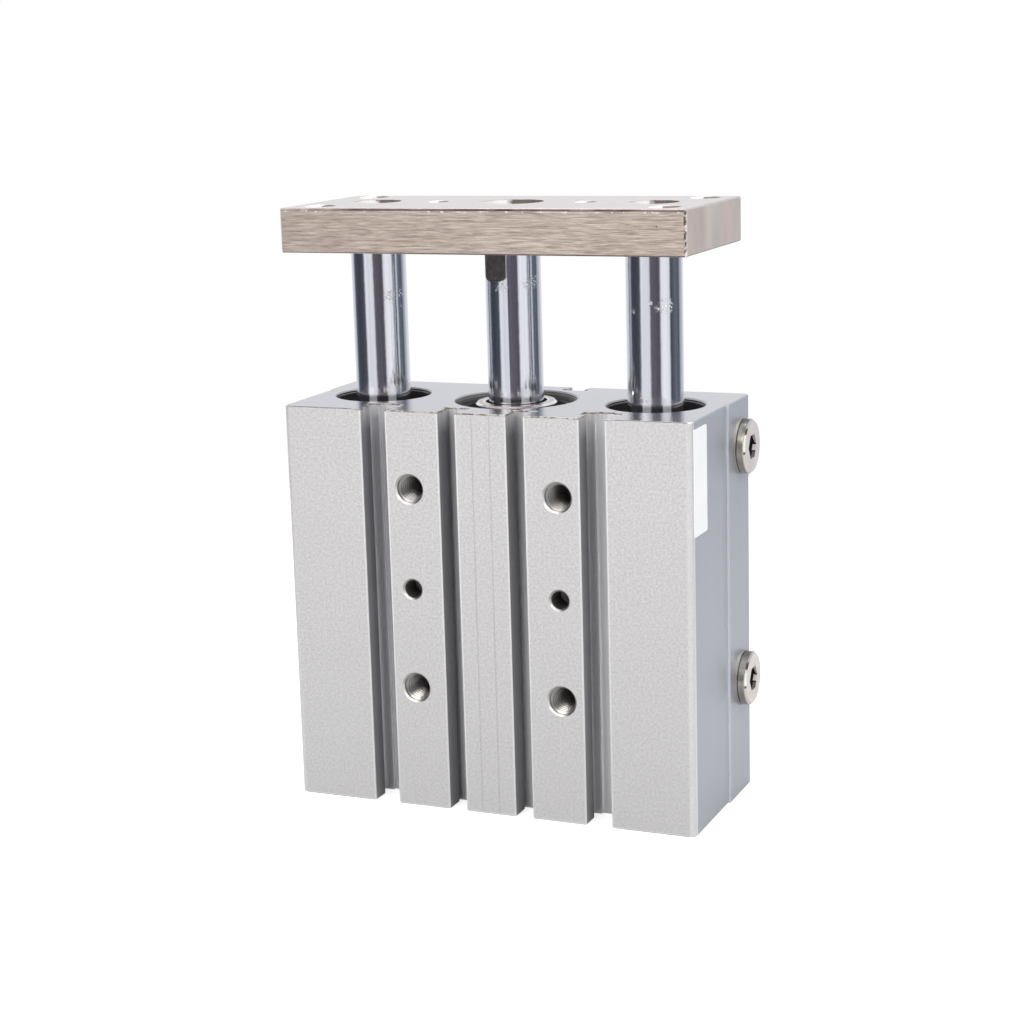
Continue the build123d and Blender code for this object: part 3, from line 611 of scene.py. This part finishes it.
def rippled_nickel():
    """Plate: nickel over a milled edge with wavy streaks along X on its long faces, broad upright bands on
    its ends, fine scratches on top and hole walls with a painted highlight that falls to painted shade toward
    +X."""
    f, c = Finish("rippled_nickel"), colours()
    x, y, z = f.axes()
    long_face = f.either(f.short_of(y, PLATE_LOW.y + 0.15 * MM), f.beyond(y, PLATE_HIGH.y - 0.15 * MM))
    flat = f.either(f.beyond(z, PLATE_HIGH.z - 0.05 * MM), f.short_of(z, PLATE_LOW.z + 0.05 * MM))
    sloped = f.outside(flat)
    ripple = f.noise(1.0, 4.0, 0.60, 0.5, vector=f.stretched((150.0, 150.0, 2500.0), (0.0, 0.03, 0.0)))
    fine = f.noise(1.0, 3.0, 0.6, 0.3, vector=f.stretched((330.0, 330.0, 4600.0), (0.0, -0.03, 0.0)))
    streak = f.plus(f.times(ripple, 0.65), f.times(fine, 0.35))
    bands = f.noise(1.0, 3.0, 0.55, 0.5, vector=f.stretched((110.0, 110.0, 26.0), (0.25, 0.0, 0.0)))
    tint = f.noise(1.0, 1.0, 0.5, 0.0, vector=f.stretched((70.0, 70.0, 18.0), shift=(3.0, 1.0, 2.0)))
    scratches = f.noise(1.0, 3.0, 0.6, 0.1, vector=f.stretched((40.0, 1500.0, 40.0)))
    chipped = f.noise(1.0, 3.0, 0.7, 0.6, vector=f.stretched((700.0, 700.0, 620.0)))
    pits = f.node("ShaderNodeTexVoronoi")
    f.put(pits.inputs["Vector"], f.place)
    pits.inputs["Scale"].default_value = 150.0
    rippled = f.grade(streak, c.plate_dark, c.plate_light, 0.38, 0.62)
    rippled = f.mix(f.step(pits.outputs["Distance"], 0.02, 0.035, 1.0, 0.0), rippled, (0.12, 0.09, 0.07))
    rippled = f.mix(f.step(x, PLATE_LOW.x, 10.0 * MM, 0.16, 0.0), rippled, (0.34, 0.27, 0.23))
    pinkish = f.grade(bands, (0.63, 0.515, 0.46), (0.84, 0.71, 0.64))
    greyish = f.grade(bands, (0.63, 0.565, 0.505), (0.86, 0.79, 0.71))
    colour = f.mix(long_face, f.grade(tint, pinkish, greyish, 0.4, 0.6), rippled)
    colour = f.mix(flat, colour, f.grade(scratches, (0.612, 0.542, 0.533), (0.725, 0.648, 0.638)))
    colour = plate_edges(f, x, y, z, long_face, sloped, chipped, colour)
    within_x = f.short_of(f.size_of(x), PLATE_HIGH.x - 0.5 * MM)
    inside = f.times(within_x, f.short_of(f.size_of(f.plus(y, 0.75 * MM)), 18.0 * MM), sloped)
    colour = plate_hole_walls(f, x, y, inside, chipped, colour)
    rough = f.blend(long_face, f.step(bands, 0.3, 0.7, 0.36, 0.46), f.step(fine, 0.3, 0.7, 0.34, 0.50))
    rough = f.blend(flat, rough, f.step(scratches, 0.3, 0.7, 0.20, 0.30))
    rough = f.blend(inside, rough, 0.30)
    height = f.blend(long_face, f.times(bands, 0.15), streak)
    height = f.blend(flat, height, f.times(scratches, 0.08))
    return f.done(colour, rough, f.blend(inside, 0.85, 0.10), f.bump(height, 0.09 * MM, 0.8))


def scuff_patches(f, scuffs):
    """Soft round patches on the rods' surface, each given by the rod's axis, its turn and its height."""
    patches = 0.0
    for axis, turn, height, reach in scuffs:
        turn = math.radians(turn)
        away = f.node("ShaderNodeVectorMath", operation="DISTANCE")
        f.put(away.inputs[0], f.place)
        f.put(away.inputs[1], (axis * MM + ROD_RADIUS * math.sin(turn), -ROD_RADIUS * math.cos(turn),
                               PLATE_LOW.z - height * MM))
        patch = f.step(away.outputs["Value"], 0.45 * reach * MM, reach * MM, 1.0, 0.0)
        patches = f.either(patches, patch)
    return patches


def milled_flats(f, x, y, z, low):
    """Mask and colour of the wrench flats: dark milled steel, with a painted shadow black at the lower end
    and a painted highlight on a pale rim except at the front left."""
    cut = f.times(f.inside_circle(x, y, 0.0, 0.0, ROD_RADIUS - 0.03 * MM), f.beyond(z, low),
                  f.short_of(z, PLATE_LOW.z))
    milled = f.grade(f.noise(700.0, 4.0, 0.7), (0.068, 0.061, 0.059), (0.135, 0.125, 0.122), 0.35, 0.65)
    # Painted shadow: black at the flats' lower end.
    milled = f.mix(f.step(z, low + 0.5 * MM, low + 1.8 * MM, 1.0, 0.0), milled, (0.014, 0.012, 0.012))
    # Painted highlight: a pale rim round the flats, except at the front left.
    rim = f.outside(f.inside_circle(x, y, 0.0, 0.0, ROD_RADIUS - 0.20 * MM))
    painted_edge_highlight = f.times(rim, f.step(f.plus(x, y), -8.0 * MM, -4.0 * MM))
    return cut, f.mix(painted_edge_highlight, milled, (0.97, 0.96, 0.95))


def ground_chrome(name, scuffs, flats_low=None):
    """Rod: mirror chrome with fine grinding lines, small patches of scuffed specks, and dark milled flats
    with a painted shadow and a painted highlight from flats_low up to the plate."""
    f, c = Finish(name), colours()
    x, y, z = f.axes()
    lines = f.noise(1.0, 3.0, 0.6, vector=f.stretched((2200.0, 2200.0, 22.0)))
    soft = f.noise(1.0, 2.0, 0.5, vector=f.stretched((700.0, 700.0, 9.0)))
    specks = f.noise(2400.0, 3.0, 0.75, 0.5)
    scuff = f.times(scuff_patches(f, scuffs), f.step(specks, 0.54, 0.58))
    colour = f.grade(lines, shade(c.chrome, 0.86), c.chrome)
    colour = f.mix(f.step(soft, 0.35, 0.65, 0.0, 0.16), colour, (0.60, 0.60, 0.64))
    scuffed = f.grade(f.noise(2700.0, 2.0, 0.5), (0.10, 0.10, 0.105), (0.93, 0.93, 0.94), 0.42, 0.46)
    colour = f.mix(scuff, colour, scuffed)
    metal = f.outside(scuff)
    rough = f.blend(scuff, f.step(lines, 0.3, 0.7, 0.09, 0.15), 0.45)
    if flats_low is not None:
        cut, milled = milled_flats(f, x, y, z, flats_low)
        colour = f.mix(cut, colour, milled)
        metal = f.blend(cut, metal, 0.15)
        rough = f.blend(cut, rough, 0.34)
    height = f.plus(f.times(lines, 0.05), f.times(scuff, 0.7))
    height = f.plus(height, f.times(f.noise(480.0, 2.0, 0.5), 0.7))
    return f.done(colour, rough, metal, f.bump(height, 0.03 * MM, 0.8))


def dished_nickel():
    """Rod cover: bright turned nickel, with painted shade as a duller ring between the boss's rim and the
    rod, and a painted highlight on the boss's outer rim.
    """
    f, c = Finish("cover_nickel_bright"), colours()
    x, y = f.axes()[:2]
    fine = f.noise(2600.0, 3.0, 0.6)
    colour = f.grade(f.noise(240.0, 3.0, 0.5), shade(c.nickel, 0.88), c.nickel)
    away = f.maths("SQRT", f.plus(f.times(x, x), f.times(y, y)))
    # Painted shade: a duller ring between the boss's rim and the rod.
    dull = f.step(f.apart(away, 7.75 * MM), 0.25 * MM, 0.65 * MM, 0.75, 0.0)
    colour = f.mix(dull, colour, (0.36, 0.35, 0.345))
    # Painted highlight on the boss's outer rim.
    colour = f.mix(f.step(away, 8.30 * MM, 8.50 * MM), colour, (0.95, 0.93, 0.90))
    return f.done(colour, f.step(fine, 0.3, 0.7, 0.15, 0.22), 1.0, f.bump(fine, 0.002 * MM, 0.5))


def port_level(level):
    """Height of the axis of the lower or the upper ports."""
    low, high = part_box("port_plug_" + level)
    return (low.z + high.z) / 2


def flanged_plug():
    """Nickel plug: pale face, a chamfer whose painted highlights and painted shade turn from bright to dark
    and back round its rim, a rim whose painted reflections are cream in the middle and grey above and below,
    a dark line where it meets the washer, and a hexagon with painted shade dark inside, a painted highlight
    on the pale upper wall and a painted glint on the lower one."""
    f = Finish("plug_bright_nickel")
    x, y, z = f.axes()
    low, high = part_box("port_plug_lower")
    lower_z, upper_z, radius = port_level("lower"), port_level("upper"), (high.z - low.z) / 2
    rise = f.minus(z, f.blend(f.beyond(z, (lower_z + upper_z) / 2), lower_z, upper_z))
    across = f.minus(y, (low.y + high.y) / 2)
    inward = f.minus(high.x, x)
    fine = f.noise(2600.0, 3.0, 0.6)
    pale = f.grade(f.noise(240.0, 3.0, 0.5), (0.77, 0.70, 0.655), (0.885, 0.81, 0.76))
    # Painted reflections on the rim: cream in the middle, grey above and below.
    rim = f.grade(rise, (0.40, 0.375, 0.345), (0.66, 0.60, 0.51), -2.4 * MM, 0.6 * MM)
    rim = f.mix(f.step(rise, 2.6 * MM, 4.0 * MM), rim, (0.27, 0.26, 0.245))
    rim = f.mix(f.step(f.noise(500.0, 3.0, 0.5), 0.35, 0.65, 0.0, 0.35), rim, (0.36, 0.32, 0.27))
    rim = f.mix(f.beyond(inward, 1.80 * MM), rim, (0.07, 0.065, 0.06))
    outer = f.outside(f.inside_circle(across, rise, 0.0, 0.0, radius - 0.52 * MM))
    colour = f.mix(f.times(outer, f.beyond(inward, 0.36 * MM)), pale, rim)
    slope = f.times(outer, f.short_of(inward, 0.36 * MM))
    # Painted highlights and painted shade round the chamfer.
    chamfer = f.mix(f.step(rise, -0.75 * MM, -0.35 * MM), (0.66, 0.63, 0.59), (1.0, 0.97, 0.89))
    chamfer = f.mix(f.step(rise, 4.2 * MM, 4.5 * MM), chamfer, (0.70, 0.67, 0.64))
    chamfer_dark_spot = f.step(f.size_of(f.plus(rise, 0.55 * MM)), 0.15 * MM, 0.40 * MM, 1.0, 0.0)
    shade = f.step(f.apart(rise, 3.8 * MM), 0.45 * MM, 0.85 * MM, 1.0, 0.0)
    chamfer = f.mix(f.either(chamfer_dark_spot, shade), chamfer, (0.12, 0.10, 0.09))
    colour = f.mix(slope, colour, chamfer)
    # Painted shade inside the hexagon, a painted highlight on its upper wall and a painted glint on its lower
    # one.
    socket = f.times(f.inside_circle(across, rise, 0.0, 0.0, 3.0 * MM), f.beyond(inward, 0.02 * MM))
    lit_depth = f.plus(f.times(rise, 0.20), 0.25 * MM)
    far = f.beyond(across, 0.6 * MM)
    lit = f.times(far, f.beyond(rise, 0.35 * MM), f.short_of(inward, lit_depth))
    glint = f.short_of(f.size_of(f.plus(rise, 0.62 * MM)), 0.60 * MM)
    glint = f.times(glint, far, f.short_of(inward, 0.85 * MM))
    dull = f.times(f.beyond(across, -0.6 * MM), f.short_of(rise, -1.5 * MM), f.short_of(inward, 0.75 * MM))
    inside = f.mix(dull, (0.03, 0.026, 0.024), (0.26, 0.25, 0.24))
    inside = f.mix(lit, inside, (0.80, 0.75, 0.73))
    colour = f.mix(socket, colour, f.mix(glint, inside, (1.0, 1.0, 1.0)))
    metal = f.outside(f.times(socket, 0.9))
    return f.done(colour, f.step(fine, 0.3, 0.7, 0.21, 0.28), metal, f.bump(fine, 0.002 * MM, 0.5))


def plain_metal(name, colour, roughness, metallic=1.0):
    """Metal with fine tooling noise in its colour, its roughness and its surface."""
    f = Finish(name)
    fine = f.noise(2200.0, 3.0, 0.6)
    tone = f.grade(f.noise(320.0, 3.0, 0.5), shade(colour, 0.8), shade(colour, 1.1))
    rough = f.step(fine, 0.3, 0.7, roughness - 0.06, roughness + 0.08)
    return f.done(tone, rough, metallic, f.bump(fine, 0.01 * MM, 0.5))


def moulded(name, colour, roughness):
    """Rubber or resin with a fine moulded grain."""
    f = Finish(name)
    fine = f.noise(3000.0, 3.0, 0.6)
    tone = f.grade(f.noise(400.0, 2.0, 0.5), shade(colour, 0.85), shade(colour, 1.2))
    rough = f.step(fine, 0.3, 0.7, roughness - 0.08, roughness + 0.08)
    return f.done(tone, rough, 0.0, f.bump(fine, 0.01 * MM, 0.5))


def tapped_metal(name, light, axis, mouth, inward):
    """Bright cut thread with painted shade that falls dark with depth from the hole's mouth along one axis.
    """
    f = Finish(name)
    place = f.axes()[axis]
    depth = f.step(f.times(f.minus(place, mouth), inward), 0.9 * MM, 8.0 * MM)
    fine = f.noise(2200.0, 3.0, 0.6)
    tone = f.grade(fine, shade(light, 0.85), light)
    # Painted shade: darker with depth from the mouth.
    tone = f.mix(depth, tone, (0.27, 0.26, 0.25))
    rough = f.step(fine, 0.3, 0.7, 0.26, 0.38)
    return f.done(tone, rough, 1.0, f.bump(fine, 0.01 * MM, 0.5))


def label_paper():
    """Blank coated paper with a faint fibre and slightly uneven gloss."""
    f, c = Finish("label_paper"), colours()
    fibre = f.noise(1400.0, 4.0, 0.6)
    tone = f.grade(f.noise(120.0, 2.0, 0.5), shade(c.label, 0.965), c.label)
    rough = f.step(fibre, 0.3, 0.7, 0.32, 0.44)
    return f.done(tone, rough, 0.0, f.bump(fibre, 0.004 * MM, 0.4))


def finish_makers():
    """Which finish each of the record's material slots gets."""
    c = colours()
    return {
        "body_aluminium": blasted_extrusion,
        "cover_nickel": dished_nickel,
        "cap_aluminium": lambda: plain_metal("cap_turned", (0.62, 0.62, 0.63), 0.34),
        "piston_aluminium": lambda: plain_metal("piston_turned", (0.66, 0.66, 0.67), 0.30),
        "plate_nickel": rippled_nickel,
        "rod_chrome": lambda: ground_chrome("rod_ground_chrome", GUIDE_SCUFFS),
        "screw_steel": lambda: plain_metal("screw_bright_steel", c.steel, 0.30),
        "plug_nickel": flanged_plug,
        "washer_grey": lambda: plain_metal("washer_coated", (0.50, 0.465, 0.42), 0.42, 0.8),
        "ring_steel": lambda: plain_metal("ring_oxidised", c.dark_steel, 0.34),
        "bushing_steel": lambda: plain_metal("bushing_ground", c.steel, 0.25),
        "cage_resin": lambda: moulded("cage_moulded", c.resin, 0.45),
        "seal_rubber": lambda: moulded("seal_moulded", c.rubber, 0.48),
        "bush_bronze": lambda: plain_metal("bush_sintered", c.bronze, 0.45),
        "magnet_grey": lambda: plain_metal("magnet_sintered", (0.16, 0.16, 0.17), 0.5, 0.6),
        "wear_resin": lambda: moulded("wear_ring_moulded", c.resin, 0.4),
    }


# Operators

class CYL_OT_finishes(bpy.types.Operator):
    """Gives every solid of the cylinder the finish of its material slot"""
    bl_idname = "cylinder.finishes"
    bl_label = "Metal and rubber finishes"

    def execute(self, context):
        makers = finish_makers()
        made = {}
        for name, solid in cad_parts.items():
            for holder in solid.material_slots:
                slot = holder.material.name.split(".")[0]
                if slot not in makers:
                    raise RuntimeError(f"no finish for the slot {slot} on {name}")
                if slot not in made:
                    made[slot] = makers[slot]()
        for name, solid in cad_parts.items():
            for holder in solid.material_slots:
                holder.material = made[holder.material.name.split(".")[0]]
        flatted = ground_chrome("piston_rod_ground_chrome", PISTON_SCUFFS, PLATE_LOW.z - 9.0 * MM)
        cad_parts["piston_rod"].material_slots[0].material = flatted
        return {"FINISHED"}


def tapped_ridge(name, mouth, inward, end, ridge, body):
    """Thread ridge of a hole that is tapped for a 6 mm screw."""
    s = sizes()
    rings = thread_rings(mouth, inward, TAP_RADIUS, s.screw_crest, s.screw_pitch, TAP_START, end,
                         s.thread_steps)
    return swept_piece(name, rings, ridge, body)


class CYL_OT_body_threads(bpy.types.Operator):
    """Cuts thread ridges into the tapped holes of the body's front and base"""
    bl_idname = "cylinder.body_threads"
    bl_label = "Threads in the body"

    def execute(self, context):
        light = (0.34, 0.33, 0.32)
        front_ridge = tapped_metal("tapped_front", light, 1, FRONT, 1.0)
        base_ridge = tapped_metal("tapped_base", light, 2, BASE, 1.0)
        for side, x in (("left", -MOUNT_X), ("right", MOUNT_X)):
            for level, z in (("upper", UPPER_TAP), ("lower", LOWER_TAP)):
                piece = tapped_ridge("thread_front_" + level + "_" + side, (x, FRONT, z), (0, 1, 0), TAP_END,
                                     front_ridge, "cylinder_body")
            for row, y in (("front", -BASE_HOLE_Y), ("back", BASE_HOLE_Y)):
                piece = tapped_ridge("thread_base_" + row + "_" + side, (x, y, BASE), (0, 0, 1), TAP_END,
                                     base_ridge, "cylinder_body")
        return {"FINISHED"}


class CYL_OT_port_threads(bpy.types.Operator):
    """Cuts thread ridges into the two open air ports in the back"""
    bl_idname = "cylinder.port_threads"
    bl_label = "Threads in the air ports"

    def execute(self, context):
        s = sizes()
        ridge = tapped_metal("tapped_port", (0.62, 0.61, 0.60), 1, BACK, -1.0)
        for level in ("lower", "upper"):
            rings = thread_rings((PORT_X, BACK, port_level(level)), (0, -1, 0), PORT_RADIUS, s.port_crest,
                                 s.port_pitch, PORT_START, PORT_END, s.thread_steps)
            piece = swept_piece("thread_port_" + level, rings, ridge, "cylinder_body")
        return {"FINISHED"}


class CYL_OT_plate_threads(bpy.types.Operator):
    """Cuts thread ridges into the tapped holes at the plate's corners"""
    bl_idname = "cylinder.plate_threads"
    bl_label = "Threads in the plate"

    def execute(self, context):
        ridge = tapped_metal("tapped_plate", (0.62, 0.57, 0.52), 2, PLATE_HIGH.z, -1.0)
        for side, x in (("left", -PLATE_TAP_X), ("right", PLATE_TAP_X)):
            for row, y in (("front", -PLATE_TAP_Y), ("back", PLATE_TAP_Y)):
                piece = tapped_ridge("thread_plate_" + row + "_" + side, (x, y, PLATE_HIGH.z), (0, 0, -1),
                                     PLATE_TAP_END, ridge, "plate_and_rods")
        return {"FINISHED"}


class CYL_OT_label(bpy.types.Operator):
    """Sticks a blank white label on the side face"""
    bl_idname = "cylinder.label"
    bl_label = "Blank label"

    def execute(self, context):
        s = sizes()
        low_y, high_y = -19.0 * MM, -10.6 * MM
        low_z, high_z = 64.0 * MM, 86.3 * MM
        half_y, half_z = (high_y - low_y) / 2, (high_z - low_z) / 2
        edge = 0.25 * s.label_thickness
        rings = []
        for inset, lift in ((0.0, 0.0), (0.0, s.label_thickness - edge), (edge, s.label_thickness)):
            outline = rounded_outline(half_y - inset, half_z - inset, s.label_corner - inset)
            ring = np.empty((len(outline), 3))
            ring[:, 0] = BAND_FACE - BAND_HEIGHT + lift
            ring[:, 1] = (low_y + high_y) / 2 + outline[:, 0]
            ring[:, 2] = (low_z + high_z) / 2 + outline[:, 1]
            rings.append(ring)
        swept_piece("side_label", np.array(rings), label_paper(), "cylinder_body")
        return {"FINISHED"}


def studio_floor_material():
    """Matt white floor. Seen directly or in metal it also glows a little, so it reads as white paper and
    still keeps the cylinder's shadow."""
    f = Finish("studio_floor")
    tone = f.grade(f.noise(30.0, 2.0, 0.5), (0.49, 0.49, 0.49), (0.51, 0.51, 0.51))
    f.done(tone, 0.8, 0.0)
    rays = f.node("ShaderNodeLightPath").outputs
    through = f.either(rays["Is Glossy Ray"], rays["Is Transmission Ray"])
    shown = f.either(f.times(rays["Is Camera Ray"], 0.72), f.times(through, 0.10))
    f.put(f.shader.inputs["Emission Color"], (1.0, 1.0, 1.0))
    f.put(f.shader.inputs["Emission Strength"], shown)
    return f.material


def studio_world(camera_way):
    """White to the camera. To everything else it is a studio: two tall soft boxes either side of the camera,
    dark walls between and beyond them, and a pale ceiling. The bands turn with the angle round the
    upright axis, measured from the camera's side of the cylinder."""
    world = bpy.data.worlds.new("studio")
    world.use_nodes = True
    n = Nodes(world.node_tree)
    n.tree.nodes.clear()
    turn = n.node("ShaderNodeMapping")
    turn.inputs["Rotation"].default_value = (0.0, 0.0, -camera_way)
    n.put(turn.inputs["Vector"], n.node("ShaderNodeTexCoord").outputs["Generated"])
    way = n.node("ShaderNodeSeparateXYZ")
    n.put(way.inputs[0], turn.outputs[0])
    angle = n.maths("ARCTAN2", way.outputs["Y"], way.outputs["X"])
    bands = n.node("ShaderNodeValToRGB")
    n.put(bands.inputs[0], n.plus(n.maths("DIVIDE", angle, 2 * math.pi), 0.5))
    stops = [
        (-180, (0.85, 0.87, 0.90)), (-150, (0.80, 0.83, 0.88)), (-131, (0.62, 0.65, 0.70)),
        (-121, (0.10, 0.115, 0.145)), (-95, (0.05, 0.056, 0.075)), (-66, (0.08, 0.083, 0.105)),
        (-59, (0.93, 0.95, 1.0)), (-42, (0.82, 0.84, 0.90)), (-26, (0.90, 0.91, 0.95)),
        (-20, (0.13, 0.12, 0.15)), (0, (0.12, 0.11, 0.135)), (16, (0.09, 0.08, 0.105)),
        (22, (0.94, 0.94, 0.98)), (38, (1.04, 1.04, 1.06)), (56, (0.94, 0.95, 0.99)),
        (63, (0.065, 0.068, 0.09)), (76, (0.11, 0.122, 0.15)), (90, (0.145, 0.165, 0.205)),
        (110, (0.11, 0.12, 0.16)), (119, (0.48, 0.51, 0.56)), (150, (0.85, 0.87, 0.90)),
        (180, (0.85, 0.87, 0.90)),
    ]
    ramp = bands.color_ramp
    while len(ramp.elements) < len(stops):
        ramp.elements.new(0.5)
    for element, (degrees, colour) in zip(ramp.elements, stops):
        element.position = degrees / 360 + 0.5
        element.color = (*colour, 1.0)
    studio = n.node("ShaderNodeBackground")
    ceiling = n.step(way.outputs["Z"], 0.42, 0.62)
    n.put(studio.inputs["Color"], n.mix(ceiling, bands.outputs[0], (0.85, 0.86, 0.88)))
    white = n.node("ShaderNodeBackground")
    n.put(white.inputs["Color"], (1.0, 1.0, 1.0))
    rays = n.node("ShaderNodeLightPath").outputs
    pick = n.node("ShaderNodeMixShader")
    n.put(pick.inputs[0], n.either(rays["Is Camera Ray"], rays["Is Transmission Ray"]))
    n.put(pick.inputs[1], studio.outputs[0])
    n.put(pick.inputs[2], white.outputs[0])
    n.put(n.node("ShaderNodeOutputWorld").inputs["Surface"], pick.outputs[0])
    bpy.context.scene.world = world


def soft_box(name, place, target, width, height, power, colour=(1.0, 1.0, 1.0)):
    """Rectangular lamp at a place, facing a target."""
    data = bpy.data.lights.new(name, "AREA")
    data.shape = "RECTANGLE"
    data.size, data.size_y = width, height
    data.energy = power
    data.color = colour
    lamp = bpy.data.objects.new(name, data)
    bpy.context.scene.collection.objects.link(lamp)
    way = Vector(target) - Vector(place)
    lamp.matrix_world = Matrix.Translation(place) @ way.to_track_quat("-Z", "Y").to_matrix().to_4x4()


class CYL_OT_studio(bpy.types.Operator):
    """Sets the camera, the floor, the soft light and the white surround"""
    bl_idname = "cylinder.studio"
    bl_label = "Studio"

    def execute(self, context):
        s = sizes()
        scene = context.scene
        place = Vector((182.75, -430.02, 162.52)) * MM
        right = Vector((0.92088, 0.38888, -0.02729))
        up = Vector((-0.05652, 0.20244, 0.97766))
        back = right.cross(up).normalized()
        up = back.cross(right).normalized()
        data = bpy.data.cameras.new("photo_camera")
        data.lens = s.lens
        data.sensor_width = 36.0
        data.sensor_fit = "HORIZONTAL"
        data.clip_start = 0.01
        camera = bpy.data.objects.new("photo_camera", data)
        scene.collection.objects.link(camera)
        turn = Matrix((right, up, back)).transposed().to_4x4()
        camera.matrix_world = Matrix.Translation(place) @ turn
        scene.camera = camera

        angle = np.linspace(0.0, 2 * math.pi, 96, endpoint=False)
        rim = np.stack([np.cos(angle), np.sin(angle), np.zeros_like(angle)], axis=1) * s.floor_radius
        rim[:, 2] = CAD_BOX[0][2] - 0.02 * MM
        mesh = bpy.data.meshes.new("studio_floor")
        mesh.from_pydata(rim.tolist(), [], [list(range(len(rim)))])
        mesh.materials.append(studio_floor_material())
        floor = bpy.data.objects.new("studio_floor", mesh)
        scene.collection.objects.link(floor)

        studio_world(math.atan2(place.y, place.x))
        middle = (0.0, 0.0, 0.06)
        soft_box("soft_box_left", (-0.45, -0.75, 0.55), middle, 0.5, 0.6, 0.65, (1.0, 0.985, 0.965))
        soft_box("soft_box_right", (0.75, -0.23, 0.75), middle, 0.4, 0.4, 4.2, (0.975, 0.985, 1.0))
        soft_box("soft_box_front", (-0.12, -0.40, 0.42), middle, 0.40, 0.16, 1.5, (1.0, 0.965, 0.93))
        soft_box("soft_box_top", (0.0, 0.05, 0.95), middle, 0.8, 0.8, 4.5)
        scene.view_settings.view_transform = "Standard"
        return {"FINISHED"}


class CYL_PT_panel(bpy.types.Panel):
    """Buttons for the cylinder's pieces and sizes"""
    bl_idname = "CYL_PT_panel"
    bl_label = "Guided cylinder"
    bl_space_type = "VIEW_3D"
    bl_region_type = "UI"
    bl_category = "Cylinder"

    def draw(self, context):
        layout = self.layout
        for operator in OPERATORS:
            layout.operator(operator.bl_idname)
        for group in (sizes(), colours()):
            box = layout.box()
            for name in group.__annotations__:
                box.prop(group, name)


OPERATORS = (CYL_OT_finishes, CYL_OT_body_threads, CYL_OT_port_threads, CYL_OT_plate_threads,
             CYL_OT_label, CYL_OT_studio)
CLASSES = (CylinderSizes, CylinderColours) + OPERATORS + (CYL_PT_panel,)


def register():
    for kind in CLASSES:
        bpy.utils.register_class(kind)
    bpy.types.Scene.cylinder_sizes = PointerProperty(type=CylinderSizes)
    bpy.types.Scene.cylinder_colours = PointerProperty(type=CylinderColours)


def unregister():
    del bpy.types.Scene.cylinder_colours
    del bpy.types.Scene.cylinder_sizes
    for kind in reversed(CLASSES):
        bpy.utils.unregister_class(kind)


def main():
    register()
    bpy.ops.cylinder.finishes()
    bpy.ops.cylinder.body_threads()
    bpy.ops.cylinder.port_threads()
    bpy.ops.cylinder.plate_threads()
    bpy.ops.cylinder.label()
    bpy.ops.cylinder.studio()


if __name__ == "__main__":
    main()
